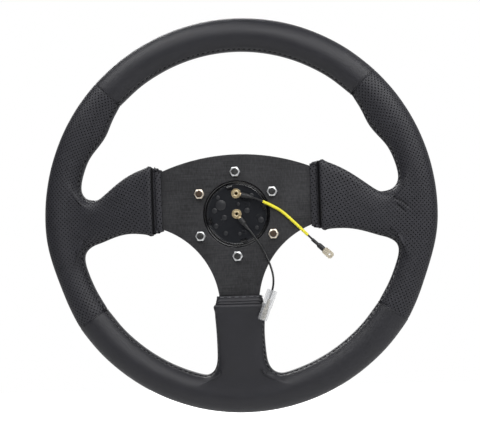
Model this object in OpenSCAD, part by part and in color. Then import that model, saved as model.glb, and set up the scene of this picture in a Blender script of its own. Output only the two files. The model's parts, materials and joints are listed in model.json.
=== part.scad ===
// Three-spoke sports steering wheel with its horn button and horn leads.
// X runs to the right as seen from behind the hub, Z runs up, and Y is the steering axis.
// The back of the hub faces -Y and the driver sits at +Y.
// The origin is the centre of the bolt circle, in the plane of the nuts' outer faces.

/* [Rim] */
// Outside diameter of the rim over its leather
rim_d = 350; // [330:5:380]
// Thickness of the grip along the wheel's radius
grip_w = 30; // [27:0.5:33]
// Thickness of the grip along the steering axis
grip_t = 29; // [27:0.5:32]
// How far the middle of the rim stands in front of the plate's back face
dish = 17.5; // [14:0.5:24]
// How far each palm swell stands in towards the hub
swell = 5.5; // [0:0.5:7]
// Angle of the palm swells above the horizontal
swell_angle = 32; // [29:0.5:34]
// How far the outside of the rim is hollowed below each side spoke
scoop = 2.2; // [0:0.2:3]
// Thickness of the leather
leather_t = 1.3; // [1:0.1:1.6]
// Angle of the upper seams above the horizontal
upper_seam = 44.5; // [42:0.5:50]
// Angle of the lower seams below the horizontal
lower_seam = 33.6; // [30:0.2:40]
// Depth of the groove where two leather panels are sewn together
seam_depth = 0.8; // [0.2:0.1:0.8]

/* [Spokes] */
// Distance from the wheel's centre to the leather hem of a side spoke
side_hem = 65.5; // [64:0.5:68]
// Distance from the wheel's centre to the leather hem of the bottom spoke
bottom_hem = 71.5; // [70:0.5:74]
// Width of the folded hem, from its edge to the crease
hem_w = 5.8; // [5:0.2:6.6]
// How far the padded end of a spoke stands out past the edges of the plate
pad_stand = 4.6; // [3.6:0.2:5.4]
// Thickness of the padded end of a spoke
pad_t = 16; // [13:0.5:19]
// Height of the right spoke's root above the wheel's centre
root_above = 18.5; // [17:0.5:22]
// Depth of the right spoke's root below the wheel's centre
root_below = 22; // [19:0.5:24]
// How much higher the left spoke's root lies than the right one's
root_lift = 2; // [0:0.5:3]
// Thickness of a spoke at its root
root_t = 22; // [19:0.5:24]
// Width of the bottom spoke at its root
bottom_root_w = 43; // [38:0.5:48]
// Distance between a spoke's root and the inside of the rim
root_gap = 25; // [22:0.5:28]
// How far the side spokes bow upwards halfway along
spoke_bow = 3; // [0:0.5:4]

/* [Plate] */
// Thickness of the aluminium spoke plate
plate_t = 4; // [3:0.5:5]
// Height of the plate's top edge above the centre
plate_top = 52.3; // [50:0.5:56]
// Radius of the plate's top edge
plate_top_r = 175; // [150:5:220]
// Radius of the two hollow edges beside the bottom spoke
web_r = 74; // [70:0.5:76]
// Diameter of the bolt circle
bolt_circle_d = 74; // [73:0.5:78]
// Metal between the bolt circle and a hollow edge
web_border = 10.8; // [10:0.2:13]
// Metal between the bolt circle and the hole that the horn button sits in
hub_border = 7.5; // [7:0.25:8.5]
// Diameter of the bolt holes in the plate and the ring
bolt_hole_d = 5.5; // [5.3:0.1:5.8]
// Width of the aluminium hoop inside the rim
hoop_w = 8; // [6:0.5:10]
// Thickness of the aluminium hoop along the steering axis
hoop_t = 8; // [6:0.5:10]

/* [Bolts and nuts] */
// Thread diameter of the ring bolts
bolt_d = 5; // [4.8:0.1:5]
// Length of thread that stands out past a nut
bolt_free = 2; // [1.6:0.1:3]
// Diameter of a countersunk bolt head
head_d = 9.6; // [9:0.2:10]
// Width of a nut across its flats
nut_af = 8; // [7:0.5:9]
// Height of a nut
nut_h = 4; // [3:0.5:5]

/* [Horn button] */
// Width of the front ring outside the bolt circle
ring_border = 9; // [8:0.5:13]
// Thickness of the front ring
ring_t = 5.5; // [5:0.5:8]
// Wall of the ring's collar, which lies inside the plate's hole
collar_wall = 1.4; // [1.2:0.1:1.8]
// Wall of the horn button's housing
housing_wall = 1.5; // [1.2:0.1:1.8]
// Thickness of the base that carries the terminals
base_t = 2.5; // [2:0.1:2.8]
// Height of the cap's dome
dome_h = 3.5; // [2:0.5:6]
// How far the horn button travels
press_travel = 2; // [1:0.1:2]
// Space between the snap hooks and the eye of the offset terminal
eye_gap = 0.9; // [0.5:0.1:3]
// Number of snap hooks on the cap
hook_count = 4; // [3:1:4]
// Width of a snap hook
hook_w = 5; // [4:0.5:6]
// Wire diameter of the return spring
spring_wire = 1.1; // [0.8:0.1:1.2]

/* [Leads] */
// Diameter of both leads over their insulation
lead_d = 1.8; // [1.6:0.1:2.2]
// Outside diameter of the yellow sleeve
yellow_d = 2.6; // [2.5:0.1:3.4]
// Outside diameter of a ring terminal's eye
eye_d = 8.4; // [7.6:0.2:9]
// Thickness of the terminals' sheet brass
tag_t = 0.8; // [0.6:0.1:0.9]
// Diameter of the crimped barrels
barrel_d = 3.4; // [3.2:0.1:3.6]
// Length of a ring terminal's barrel
barrel_l = 6.5; // [5.5:0.5:7]
// Width of the flat blade terminal
blade_w = 6.3; // [4.8:0.1:6.5]
// Length of the flat blade terminal
blade_l = 10.5; // [8:0.5:12]
// Outside diameter of the clear bullet sleeve
bullet_d = 9.2; // [8.8:0.1:9.6]
// Length of the clear bullet sleeve
bullet_l = 27.5; // [26:0.5:32]

/* [Hidden] */

glue = 0.25;             // gap between a skin and what it is glued to
run = 0.3;               // running clearance
slip = 0.1;              // clearance of a seated fit
seam_gap = 0.3;          // gap between two panels at a seam
fine = 96;               // sides drawn on a large circle
plain = 32;              // sides drawn on a small circle

// Places along the steering axis
back_y = nut_h;
front_y = back_y + plate_t;
plate_y = back_y + plate_t / 2;
rim_y = back_y + dish;
rim_r = rim_d / 2;
rim_mid_r = rim_r - grip_w / 2;
rim_in_r = rim_r - grip_w;

// Radii of the horn button's pieces, from the hole in the plate inwards
hub_hole_r = bolt_circle_d / 2 - hub_border;
collar_r = hub_hole_r - run;
ring_bore_r = collar_r - collar_wall;
housing_r = ring_bore_r - slip;
bore_r = housing_r - housing_wall;
base_r = bore_r - slip;
hook_in = base_r - 3;

// Outline of the plate
web_turn = 41.7;         // direction of a hollow edge's centre, below the horizontal
web_gap = bolt_circle_d / 2 + web_border;
web_x = (web_gap + web_r) * cos(web_turn);
web_z = -(web_gap + web_r) * sin(web_turn);
arm_end = 84;            // where the flat part of the arms ends
function arm_top(x) = plate_top - plate_top_r + sqrt(plate_top_r ^ 2 - x ^ 2);
function arm_bottom(x) = web_z + sqrt(web_r ^ 2 - (web_x - x) ^ 2);
function tail_half(z) = web_x - sqrt(web_r ^ 2 - (z - web_z) ^ 2);

// The grip's section
section_sides = 14;
patch_first = 4;         // the section's sides from here to patch_last open into a spoke
patch_last = 10;
patch_sides = patch_last - patch_first;
patch_steps = 5;
swell_half = 13;         // angle over which a palm swell rises
swell_t = 2;             // extra thickness of the grip at a palm swell
scoop_angle = 20;
scoop_half = 17;

function bell(a, at, half) = abs(a - at) >= half ? 0 : (1 + cos(180 * (a - at) / half)) / 2;
function swell_at(a) = bell(a, swell_angle, swell_half) + bell(a, 180 - swell_angle, swell_half);
function scoop_at(a) = bell(a, -scoop_angle, scoop_half) + bell(a, 180 + scoop_angle, scoop_half);
function inner_half(a, inset) = grip_w / 2 + swell * swell_at(a) - inset;
function outer_half(a, inset) = grip_w / 2 - scoop * scoop_at(a) - inset;
function deep_half(a, inset) = grip_t / 2 + swell_t / 2 * swell_at(a) - inset;
function polar(a, r, y) = [r * cos(a), y, r * sin(a)];
function side_turn(j) = 360 * j / section_sides;
function rim_point(a, j, inset) =
    let (
        turn = side_turn(j),
        half = cos(turn) > 0 ? outer_half(a, inset) : inner_half(a, inset)
    )
    polar(a, rim_mid_r + half * cos(turn), rim_y + deep_half(a, inset) * sin(turn));

// One spoke: its direction, the stretch of rim that it opens from, and its sections.
// A section is its distance from the centre, its low and high edge, half its thickness,
// the middle of its thickness along Y, and how square its ends are.
side_patch = [-17, 13];
bottom_patch = [-15.5, 15.5];
bend_start = arm_end;
bend_end = rim_mid_r - 10;
function spoke_y(s) =
    plate_y + (rim_y - plate_y) * min(1, max(0, (s - bend_start) / (bend_end - bend_start)));
ridge_gap = 3.6;         // from the crease to the ridge of the padded end
hem_square = 8;
ridge_square = 3;
root_square = 2.4;
root_s = rim_in_r - root_gap;

function section(s, low, high, half_t, square, inset) =
    [s, low + inset, high - inset, half_t - inset, spoke_y(s), square];
function hem_section(s, low, high, outside, rise) =
    [
        s, low - glue - outside * leather_t - rise, high + glue + outside * leather_t + rise,
        plate_t / 2 + glue + 2 * outside * leather_t + rise / 2, spoke_y(s), hem_square
    ];
function hem_sections(hem, low, high, outside) =
    [
        hem_section(hem + hem_w, low, high, outside, 0.6),
        hem_section(hem + hem_w - 1, low, high, outside, 1),
        hem_section(hem, low, high, outside, 0)
    ];
function ridge_s(hem) = hem + hem_w + ridge_gap;
function pad_sections(hem, low, high, root_low, root_high, bow, inset) =
    let (
        ridge = ridge_s(hem),
        ridge_low = low - pad_stand,
        ridge_high = high + pad_stand,
        middle = (ridge + root_s) / 2
    )
    [
        section(root_s, root_low, root_high, root_t / 2, root_square, inset),
        section(
            middle, (ridge_low + root_low) / 2 + bow, (ridge_high + root_high) / 2 + bow,
            (pad_t + root_t) / 4, ridge_square, inset
        ),
        section(ridge, ridge_low, ridge_high, pad_t / 2, ridge_square, inset)
    ];
function between(a, b, t) = a + (b - a) * t;
side_edges = [arm_bottom(side_hem), arm_top(side_hem)];
bottom_edges = [-tail_half(-bottom_hem), tail_half(-bottom_hem)];
bottom_waist = 0.6;      // the bottom spoke is a little narrower halfway along
bottom_lean = 0.6;       // and leans a little to the left

// Layers: 0 is the outside of the leather, 1 is its inside and 2 is the foam.
function layer_inset(layer) = layer == 0 ? 0 : layer == 1 ? leather_t : leather_t + glue;
foam_end = 0.62;         // where the foam ends, from the crease to the ridge
function foam_end_section(hem, low, high, pads) =
    let (
        crease = hem_sections(hem, low, high, 0)[0],
        end = between(crease, pads[2], foam_end)
    )
    [end[0], end[1] + glue, end[2] - glue, end[3] - glue, end[4], ridge_square];
function sections(hem, low, high, root_low, root_high, bow, layer) =
    let (pads = pad_sections(hem, low, high, root_low, root_high, bow, layer_inset(layer)))
    concat(
        pads,
        layer == 2 ? [foam_end_section(hem, low, high, pads)]
                   : hem_sections(hem, low, high, layer == 0 ? 1 : 0)
    );
function side_sections(lift, layer) =
    sections(
        side_hem, side_edges[0], side_edges[1], lift - root_below, root_above + lift,
        spoke_bow + lift / 2, layer
    );
function mirrored(rows) =
    [for (row = rows) [row[0], -row[2], -row[1], row[3], row[4], row[5]]];
function bottom_sections(layer) =
    let (
        rows = sections(
            bottom_hem, bottom_edges[0], bottom_edges[1],
            -bottom_root_w / 2 - bottom_lean, bottom_root_w / 2 - bottom_lean,
            -bottom_lean / 2, layer
        )
    )
    [
        for (i = [0 : len(rows) - 1])
            let (w = i == 1 ? bottom_waist : 0)
                [rows[i][0], rows[i][1] + w, rows[i][2] - w, rows[i][3], rows[i][4], rows[i][5]]
    ];
function right_spoke(layer) = [0, side_sections(0, layer)];
function left_spoke(layer) = [180, mirrored(side_sections(root_lift, layer))];
function bottom_spoke(layer) = [270, bottom_sections(layer)];

// Walking once round the opening in the rim, and once round a spoke's section
loop_len = 2 * (patch_steps + patch_sides);
corner_1 = patch_steps;
corner_2 = patch_steps + patch_sides;
corner_3 = 2 * patch_steps + patch_sides;
function loop_ring(m) =
    m <= corner_1 ? m : m <= corner_2 ? patch_steps : m <= corner_3 ? corner_3 - m : 0;
function loop_side(m) =
    m <= corner_1 ? patch_first : m <= corner_2 ? patch_first + m - corner_1
    : m <= corner_3 ? patch_last : patch_last - (m - corner_3);
function power(v, square) = sign(v) * pow(abs(v), 2 / square);
crown = 0.05;            // a spoke's faces are slightly crowned
function face_point(row, t, way) =
    let (end = row[3], u = 2 * t - 1)
    [between(row[1] + end, row[2] - end, t), way * row[3] * (1 + crown * (1 - u ^ 2))];
function end_point(row, t, way) =
    let (turn = 90 - 180 * t, middle = way > 0 ? row[2] - row[3] : row[1] + row[3])
    [middle + way * row[3] * power(cos(turn), row[5]), way * row[3] * power(sin(turn), row[5])];
function section_point(row, m) =
    m < corner_1 ? face_point(row, m / patch_steps, 1)
    : m < corner_2 ? end_point(row, (m - corner_1) / patch_sides, 1)
    : m < corner_3 ? face_point(row, 1 - (m - corner_2) / patch_steps, -1)
    : end_point(row, (m - corner_3) / patch_sides, -1);
function spoke_point(angle, row, m) =
    let (p = section_point(row, m))
    [
        row[0] * cos(angle) - p[0] * sin(angle),
        row[4] + p[1],
        row[0] * sin(angle) + p[0] * cos(angle)
    ];
function unit(v) = v / norm(v);
// The direction in which the grip's skin runs away from the opening, at one of its points
function away_along(a, way) = [-way * sin(a), 0, way * cos(a)];
function away_round(a, j, way, inset) =
    unit(rim_point(a, j - way, inset) - rim_point(a, j + way, inset));
function away(a, m, inset) =
    let (
        j = loop_side(m),
        low = m == 0 || m >= corner_3 ? away_along(a, -1) : [0, 0, 0],
        high = m >= corner_1 && m <= corner_2 ? away_along(a, 1) : [0, 0, 0],
        front = m <= corner_1 ? away_round(a, j, 1, inset) : [0, 0, 0],
        back = m >= corner_2 && m <= corner_3 ? away_round(a, j, -1, inset) : [0, 0, 0]
    )
    unit(low + high + front + back);
edge_pull = 1.55;        // how sharply the window's corners turn
face_pull = 1;
function pull(m) =
    (m > corner_1 && m < corner_2) || m > corner_3 ? edge_pull
    : m == 0 || m == corner_1 || m == corner_2 || m == corner_3 ? (edge_pull + face_pull) / 2
    : face_pull;
function blend(q, q_way, p, p_way, t) =
    (1 + 2 * t) * (1 - t) ^ 2 * q + t * (1 - t) ^ 2 * q_way
    + t ^ 2 * (3 - 2 * t) * p + t ^ 2 * (t - 1) * p_way;
blend_rings = 3;
function blend_ring(angle, rows, rim_angles, t, inset) =
    [
        for (m = [0 : loop_len - 1])
            let (
                a = rim_angles[loop_ring(m)],
                p = rim_point(a, loop_side(m), inset),
                q = spoke_point(angle, rows[0], m),
                span = pull(m) * norm(p - q),
                q_way = span * unit(q - spoke_point(angle, rows[1], m)),
                p_way = span * away(a, m, inset)
            )
            blend(q, q_way, p, p_way, t)
    ];
function spoke_rings(spoke, rim_angles, inset) =
    concat(
        [
            for (i = [blend_rings : -1 : 1])
                blend_ring(spoke[0], spoke[1], rim_angles, i / (blend_rings + 1), inset)
        ],
        [for (row = spoke[1]) [for (m = [0 : loop_len - 1]) spoke_point(spoke[0], row, m)]]
    );
function flat(lists) = [for (l = lists) each l];

// A stretch of rim is a list of angles. A panel may have one spoke, which opens at ring `open`.
function steps(a, b, n) = [for (i = [0 : n - 1]) between(a, b, i / n)];
groove = 0.9;            // angle over which the leather dips into a seam
function panel_angles(a, b, patch, before, after) =
    concat(
        [a], steps(a + groove, patch[0], before), steps(patch[0], patch[1], patch_steps),
        steps(patch[1], b - groove, after), [b - groove, b]
    );
function open_angles(angles, open) = [for (i = [0 : patch_steps]) angles[open + i]];
function rim_rings(angles, inset, end_inset) =
    [
        for (i = [0 : len(angles) - 1])
            for (j = [0 : section_sides - 1])
                rim_point(angles[i], j, i == 0 || i == len(angles) - 1 ? end_inset : inset)
    ];
function in_patch(i, j, opens) =
    j >= patch_first && j < patch_last
    && len([for (o = opens) if (i >= o && i < o + patch_steps) 1]) > 0;
function rim_faces(count, closed, opens, start) =
    [
        for (i = [0 : closed ? count - 1 : count - 2])
            for (j = [0 : section_sides - 1])
                if (!in_patch(i, j, opens))
                    let (next = (i + 1) % count, side = (j + 1) % section_sides)
                        [for (v = [[i, j], [next, j], [next, side], [i, side]])
                            start + v[0] * section_sides + v[1]]
    ];
function loop_index(k, m, open, start, first) =
    k == 0 ? start + (open + loop_ring(m)) * section_sides + loop_side(m)
           : first + (k - 1) * loop_len + m;
function spoke_faces(count, open, start, first) =
    [
        for (k = [0 : count - 1])
            for (m = [0 : loop_len - 1])
                let (n = (m + 1) % loop_len)
                    [for (v = [[k, m], [k, n], [k + 1, n], [k + 1, m]])
                        loop_index(v[0], v[1], open, start, first)]
    ];
function backwards(faces) =
    [for (f = faces) [for (i = [len(f) - 1 : -1 : 0]) f[i]]];
function bridge(outer, inner) =
    [
        for (i = [0 : len(outer) - 1])
            let (n = (i + 1) % len(outer))
                [outer[i], outer[n], inner[n], inner[i]]
    ];
function ring_of(i, start) =
    [for (j = [0 : section_sides - 1]) start + i * section_sides + j];
function turned(list) = [for (i = [len(list) - 1 : -1 : 0]) list[i]];

// A leather panel: its outside, its inside, and the edges at both seams and at the hem
module leather_panel(angles, open, outside, inside) {
    has_spoke = len(outside) > 0;
    count = len(angles);
    rim_points = rim_rings(angles, 0, seam_depth);
    rim_inside = rim_rings(angles, leather_t, leather_t);
    opened = has_spoke ? open_angles(angles, open) : [];
    spoke_points = has_spoke ? flat(spoke_rings(outside, opened, 0)) : [];
    spoke_inside = has_spoke ? flat(spoke_rings(inside, opened, leather_t)) : [];
    rings = len(spoke_points) / loop_len;
    half = len(rim_points) + len(spoke_points);
    opens = has_spoke ? [open] : [];
    faces = concat(
        rim_faces(count, false, opens, 0),
        has_spoke ? spoke_faces(rings, open, 0, len(rim_points)) : []
    );
    lining = [for (f = backwards(faces)) [for (v = f) v + half]];
    hem = [for (m = [0 : loop_len - 1]) len(rim_points) + (rings - 1) * loop_len + m];
    edges = concat(
        bridge(ring_of(0, 0), ring_of(0, half)),
        bridge(turned(ring_of(count - 1, 0)), turned(ring_of(count - 1, half))),
        has_spoke ? bridge(hem, [for (v = hem) v + half]) : []
    );
    polyhedron(
        points = concat(rim_points, spoke_points, rim_inside, spoke_inside),
        faces = concat(faces, lining, edges),
        convexity = 6
    );
}

// The foam before the armature is taken out of it: a whole ring with its three spokes
module foam_blank(angles, opens, spokes) {
    inset = layer_inset(2);
    rim_points = rim_rings(angles, inset, inset);
    rings = [
        for (i = [0 : len(spokes) - 1])
            flat(spoke_rings(spokes[i], open_angles(angles, opens[i]), inset))
    ];
    count = len(rings[0]) / loop_len;
    first = [for (i = [0 : len(spokes) - 1]) len(rim_points) + i * count * loop_len];
    polyhedron(
        points = concat(rim_points, flat(rings)),
        faces = concat(
            rim_faces(len(angles), true, opens, 0),
            flat([for (i = [0 : len(spokes) - 1]) spoke_faces(count, opens[i], 0, first[i])]),
            [for (f = first) [for (m = [0 : loop_len - 1]) f + (count - 1) * loop_len + m]]
        ),
        convexity = 8
    );
}

seam_angle = seam_gap / 2 / rim_mid_r * 180 / PI;
right_patch = side_patch;
left_patch = [180 - side_patch[1], 180 - side_patch[0]];
low_patch = [270 + bottom_patch[0], 270 + bottom_patch[1]];
side_before = 3;
side_after = 6;
low_steps = 6;
top_steps = 13;
right_angles = panel_angles(
    -lower_seam + seam_angle, upper_seam - seam_angle, right_patch, side_before, side_after
);
left_angles = panel_angles(
    180 - upper_seam + seam_angle, 180 + lower_seam - seam_angle,
    left_patch, side_after, side_before
);
low_angles = panel_angles(
    180 + lower_seam + seam_angle, 360 - lower_seam - seam_angle,
    low_patch, low_steps, low_steps
);
top_start = upper_seam + seam_angle;
top_end = 180 - upper_seam - seam_angle;
top_angles = concat(
    [top_start], steps(top_start + groove, top_end - groove, top_steps), [top_end - groove, top_end]
);
foam_angles = concat(
    steps(-lower_seam, right_patch[0], side_before),
    steps(right_patch[0], right_patch[1], patch_steps),
    steps(right_patch[1], upper_seam, side_after),
    steps(upper_seam, 180 - upper_seam, top_steps),
    steps(180 - upper_seam, left_patch[0], side_after),
    steps(left_patch[0], left_patch[1], patch_steps),
    steps(left_patch[1], 180 + lower_seam, side_before),
    steps(180 + lower_seam, low_patch[0], low_steps),
    steps(low_patch[0], low_patch[1], patch_steps),
    steps(low_patch[1], 360 - lower_seam, low_steps)
);
foam_right = side_before;
foam_left = side_before + patch_steps + side_after + top_steps + side_after;
foam_low = foam_left + patch_steps + side_before + low_steps;

// Leads: routes of points chosen by hand, each as [x, y, z]
eye_y = back_y + 1.5 - tag_t;    // back face of the ring terminals
base_y = back_y + 1.5;           // back face of the horn base
barrel_y = eye_y - barrel_d / 2 - 0.1;
offset_turn = -16;
centre_turn = -54;
offset_z = hook_in - eye_d / 2 - eye_gap;
barrel_start = eye_d / 2 - 0.4;
barrel_end = barrel_start + barrel_l;
function from_eye(z, turn, s) = [s * cos(turn), barrel_y, z + s * sin(turn)];
sleeve_l = barrel_l + 5;
offset_exit = from_eye(offset_z, offset_turn, barrel_end);
centre_exit = from_eye(0, centre_turn, barrel_end);
offset_route = [
    offset_exit,
    from_eye(offset_z, offset_turn, barrel_end + 5),
    [20, 2.1, 11.6], [26, 1.9, 8.8], [32, 1.9, 5.6], [38, 1.9, 2], [44, 1.9, -3],
    [50, 1.9, -8.8], [56, 1.9, -14.8], [62, 1.8, -20.9], [68, 1.6, -26.9], [71.6, 1.5, -30.3]
];
centre_route = [
    centre_exit,
    from_eye(0, centre_turn, barrel_end + 5),
    [12, 2.3, -16], [16.5, 2.2, -22.6], [20, 2, -28], [23.5, 1.5, -34.4],
    [26.4, 0.5, -40.8], [28.9, -1, -47.4], [30.6, -2.7, -54], [31, -4.2, -60],
    [30.2, -5.2, -66], [28.2, -5.4, -71.7]
];
smooth = 2;              // stretches drawn between two points of a route
function curve_point(p0, p1, p2, p3, t) =
    0.5 * (2 * p1 + (p2 - p0) * t + (2 * p0 - 5 * p1 + 4 * p2 - p3) * t ^ 2
           + (3 * p1 - p0 - 3 * p2 + p3) * t ^ 3);
function curve(route) =
    let (n = len(route) - 1)
    concat(
        [
            for (i = [0 : n - 1])
                for (k = [0 : smooth - 1])
                    curve_point(
                        i == 0 ? 2 * route[0] - route[1] : route[i - 1], route[i], route[i + 1],
                        i == n - 1 ? 2 * route[n] - route[n - 1] : route[i + 2], k / smooth
                    )
        ],
        [route[n]]
    );
function heading(path, i) =
    unit(path[min(i + 1, len(path) - 1)] - path[max(i - 1, 0)]);
function tube_ring(path, i, r, sides) =
    let (along = heading(path, i), across = unit(cross(along, [0, 1, 0])), up = cross(across, along))
    [
        for (j = [0 : sides - 1])
            path[i] + r * (cos(360 * j / sides) * across + sin(360 * j / sides) * up)
    ];
function tube_points(path, r, sides) =
    [for (i = [0 : len(path) - 1]) each tube_ring(path, i, r, sides)];
function tube_walls(count, sides) =
    [
        for (i = [0 : count - 2])
            for (j = [0 : sides - 1])
                let (k = (j + 1) % sides)
                    [i * sides + j, i * sides + k, (i + 1) * sides + k, (i + 1) * sides + j]
    ];
lead_sides = 8;

module tube(path, r, sides) {
    last = (len(path) - 1) * sides;
    polyhedron(
        points = tube_points(path, r, sides),
        faces = concat(
            tube_walls(len(path), sides),
            [[for (j = [sides - 1 : -1 : 0]) j], [for (j = [0 : sides - 1]) last + j]]
        )
    );
}

module hollow_tube(path, r, bore, sides) {
    walls = tube_walls(len(path), sides);
    half = len(path) * sides;
    start = [for (j = [0 : sides - 1]) j];
    end = [for (j = start) j + half - sides];
    faces = concat(
        walls, [for (f = backwards(walls)) [for (v = f) v + half]],
        bridge(turned(start), [for (v = turned(start)) v + half]),
        bridge(end, [for (v = end) v + half])
    );
    polyhedron(
        points = concat(tube_points(path, r, sides), tube_points(path, bore, sides)),
        faces = faces
    );
}

// A flat shape drawn in X and Z, from y to y + t
module slab(y, t) {
    translate([0, y + t, 0]) rotate([90, 0, 0]) linear_extrude(t) children();
}

// A shape turned about an axis along Y, with its profile's second value along Y
module turned_on_y(sides = fine) {
    rotate([-90, 0, 0]) rotate_extrude($fn = sides) children();
}

module round_hole(y0, y1, r, sides = plain) {
    translate([0, y0, 0]) rotate([-90, 0, 0]) cylinder(r = r, h = y1 - y0, $fn = sides);
}

module at_bolts() {
    for (k = [0 : 5])
        translate(polar(90 + 60 * k, bolt_circle_d / 2, 0)) children();
}

// The plate
arm_waist_s = 118;       // where an arm has narrowed to its waist
arm_waist_half = 13;
arm_tip_half = 10;
arm_drop = 2;            // how far the side arms' tips lie below the centre
hoop_in_r = rim_mid_r - hoop_w / 2;
bend_overlap = 2;

module plate_outline() {
    difference() {
        intersection() {
            translate([0, plate_top - plate_top_r]) circle(r = plate_top_r, $fn = fine * 2);
            translate([-arm_end, -arm_end]) square([2 * arm_end, arm_end + plate_top + 1]);
        }
        for (side = [-1, 1])
            translate([side * web_x, web_z]) circle(r = web_r, $fn = fine * 2);
        circle(r = hub_hole_r, $fn = fine);
    }
}

// A bent arm towards +X: its side view gives the bend and its plan gives the taper
module bent_arm(low, high, grow) {
    start = arm_end - bend_overlap;
    end = hoop_in_r + grow;
    end_y = spoke_y(bend_end) - plate_y;
    intersection() {
        translate([0, 0, -rim_r / 2]) linear_extrude(rim_r) polygon([
            [start, back_y - grow], [arm_end, back_y - grow], [bend_end, back_y + end_y - grow],
            [end + 1, back_y + end_y - grow], [end + 1, front_y + end_y + grow],
            [bend_end, front_y + end_y + grow], [arm_end, front_y + grow], [start, front_y + grow]
        ]);
        slab(-rim_r, 2 * rim_r) polygon([
            [start, low - grow], [arm_end, low - grow],
            [arm_waist_s, -arm_drop - arm_waist_half - grow],
            [end + 1, -arm_drop - arm_tip_half - grow],
            [end + 1, arm_tip_half - arm_drop + grow],
            [arm_waist_s, arm_waist_half - arm_drop + grow],
            [arm_end, high + grow], [start, high + grow]
        ]);
        round_hole(-rim_r, rim_r, end - (grow > 0 ? 0 : glue), fine * 2);
    }
}

arm_trim = 0.6;
arm_low = arm_bottom(arm_end) + arm_trim;
arm_high = arm_top(arm_end) - arm_trim;
tail_w = tail_half(-arm_end) - arm_trim;

module bottom_arm(grow) {
    rotate([0, 90, 0])
        translate([0, 0, arm_drop]) bent_arm(-tail_w - arm_drop, tail_w - arm_drop, grow);
}

module spoke_plate() {
    color("#3a3a3d") difference() {
        union() {
            slab(back_y, plate_t) plate_outline();
            bent_arm(arm_low, arm_high, 0);
            mirror([1, 0, 0]) bent_arm(arm_low, arm_high, 0);
            bottom_arm(0);
        }
        at_bolts() round_hole(back_y - 1, front_y + 1, bolt_hole_d / 2);
    }
}

module hoop_profile(grow) {
    translate([hoop_in_r - grow, rim_y - hoop_t / 2 - grow])
        square([hoop_w + 2 * grow, hoop_t + 2 * grow]);
}

module rim_hoop() {
    color("#a8abad") turned_on_y(fine * 2) hoop_profile(0);
}

// The foam is moulded round the armature. Resizing by nothing keeps the moulding in one piece.
foam_fn = 90;

module rim_foam() {
    color("#2b2b2b") resize([0, 0, 0]) difference() {
        foam_blank(
            foam_angles, [foam_right, foam_left, foam_low],
            [right_spoke(2), left_spoke(2), bottom_spoke(2)]
        );
        turned_on_y(foam_fn) hoop_profile(run);
        bent_arm(arm_low, arm_high, glue);
        mirror([1, 0, 0]) bent_arm(arm_low, arm_high, glue);
        bottom_arm(glue);
        slab(back_y - glue, plate_t + 2 * glue) square([2 * arm_end, 2 * arm_end], center = true);
    }
}

module leather_top() {
    color("#1b1b1d") leather_panel(top_angles, 0, [], []);
}

module leather_right_grip() {
    color("#232325")
        leather_panel(right_angles, side_before + 1, right_spoke(0), right_spoke(1));
}

module leather_left_grip() {
    color("#232325")
        leather_panel(left_angles, side_after + 1, left_spoke(0), left_spoke(1));
}

module leather_bottom() {
    color("#1b1b1d")
        leather_panel(low_angles, low_steps + 1, bottom_spoke(0), bottom_spoke(1));
}

// The front ring: its collar stands in the plate's hole and its flange takes the six bolts
collar_back = back_y + 0.5;
ring_r = bolt_circle_d / 2 + ring_border;
ring_front = front_y + ring_t;
ring_edge = 1.6;
seat_depth = 1.5;
lip_r = housing_r + 2;
seat_r = lip_r + run;
pitch_r = bolt_d / 2 - 0.26;
head_depth = head_d / 2 - pitch_r;

module horn_ring() {
    color("#141416") difference() {
        turned_on_y() polygon([
            [ring_bore_r, collar_back + 0.4], [ring_bore_r + 0.4, collar_back],
            [collar_r, collar_back], [collar_r, front_y], [ring_r, front_y],
            [ring_r, ring_front - ring_edge], [ring_r - ring_edge, ring_front],
            [seat_r, ring_front], [seat_r, ring_front - seat_depth],
            [ring_bore_r, ring_front - seat_depth]
        ]);
        at_bolts() {
            round_hole(front_y - 1, ring_front + 1, bolt_hole_d / 2);
            turned_on_y(plain) countersink(slip);
        }
    }
}

head_rim = 0.2;          // straight edge of a countersunk head
head_sink = 0.1;         // how far the heads lie below the ring's face

// The profile of a countersunk head, or of the hole for it when grow is above 0
module countersink(grow) {
    edge = head_d / 2 + grow;
    cone_back = ring_front - head_sink - head_rim - head_depth - grow / 2;
    top = ring_front + (grow > 0 ? 1 : -head_sink);
    polygon([
        [0, cone_back], [pitch_r + grow, cone_back],
        [edge, ring_front - head_sink - head_rim - grow / 2], [edge, top], [0, top]
    ]);
}

// Bolts: countersunk heads with hex sockets, thread drawn at its pitch diameter inside the nut
socket_af = 3;
socket_depth = 2;
tip_chamfer = 0.4;
hex = 6;

module ring_bolts() {
    color("#3b3733") at_bolts() difference() {
        union() {
            turned_on_y(plain) countersink(0);
            round_hole(-tip_chamfer, ring_front - head_depth, pitch_r);
            turned_on_y(plain) polygon([
                [0, 0], [bolt_d / 2, 0], [bolt_d / 2, tip_chamfer - bolt_free],
                [bolt_d / 2 - tip_chamfer, -bolt_free], [0, -bolt_free]
            ]);
        }
        round_hole(ring_front - socket_depth, ring_front + 1, socket_af / 2 / cos(30), hex);
    }
}

module ring_nuts() {
    corner_r = nut_af / 2 / cos(30);
    face_r = nut_af / 2 - 0.1;
    bevel = (corner_r - face_r) * tan(30);
    color("#d5d7d9") at_bolts() difference() {
        intersection() {
            round_hole(0, nut_h, corner_r, hex);
            turned_on_y(plain) polygon([
                [0, 0], [face_r, 0], [corner_r, bevel], [corner_r, nut_h - bevel],
                [face_r, nut_h], [0, nut_h]
            ]);
        }
        round_hole(-1, nut_h + 1, pitch_r + 0.05);
    }
}

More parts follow.
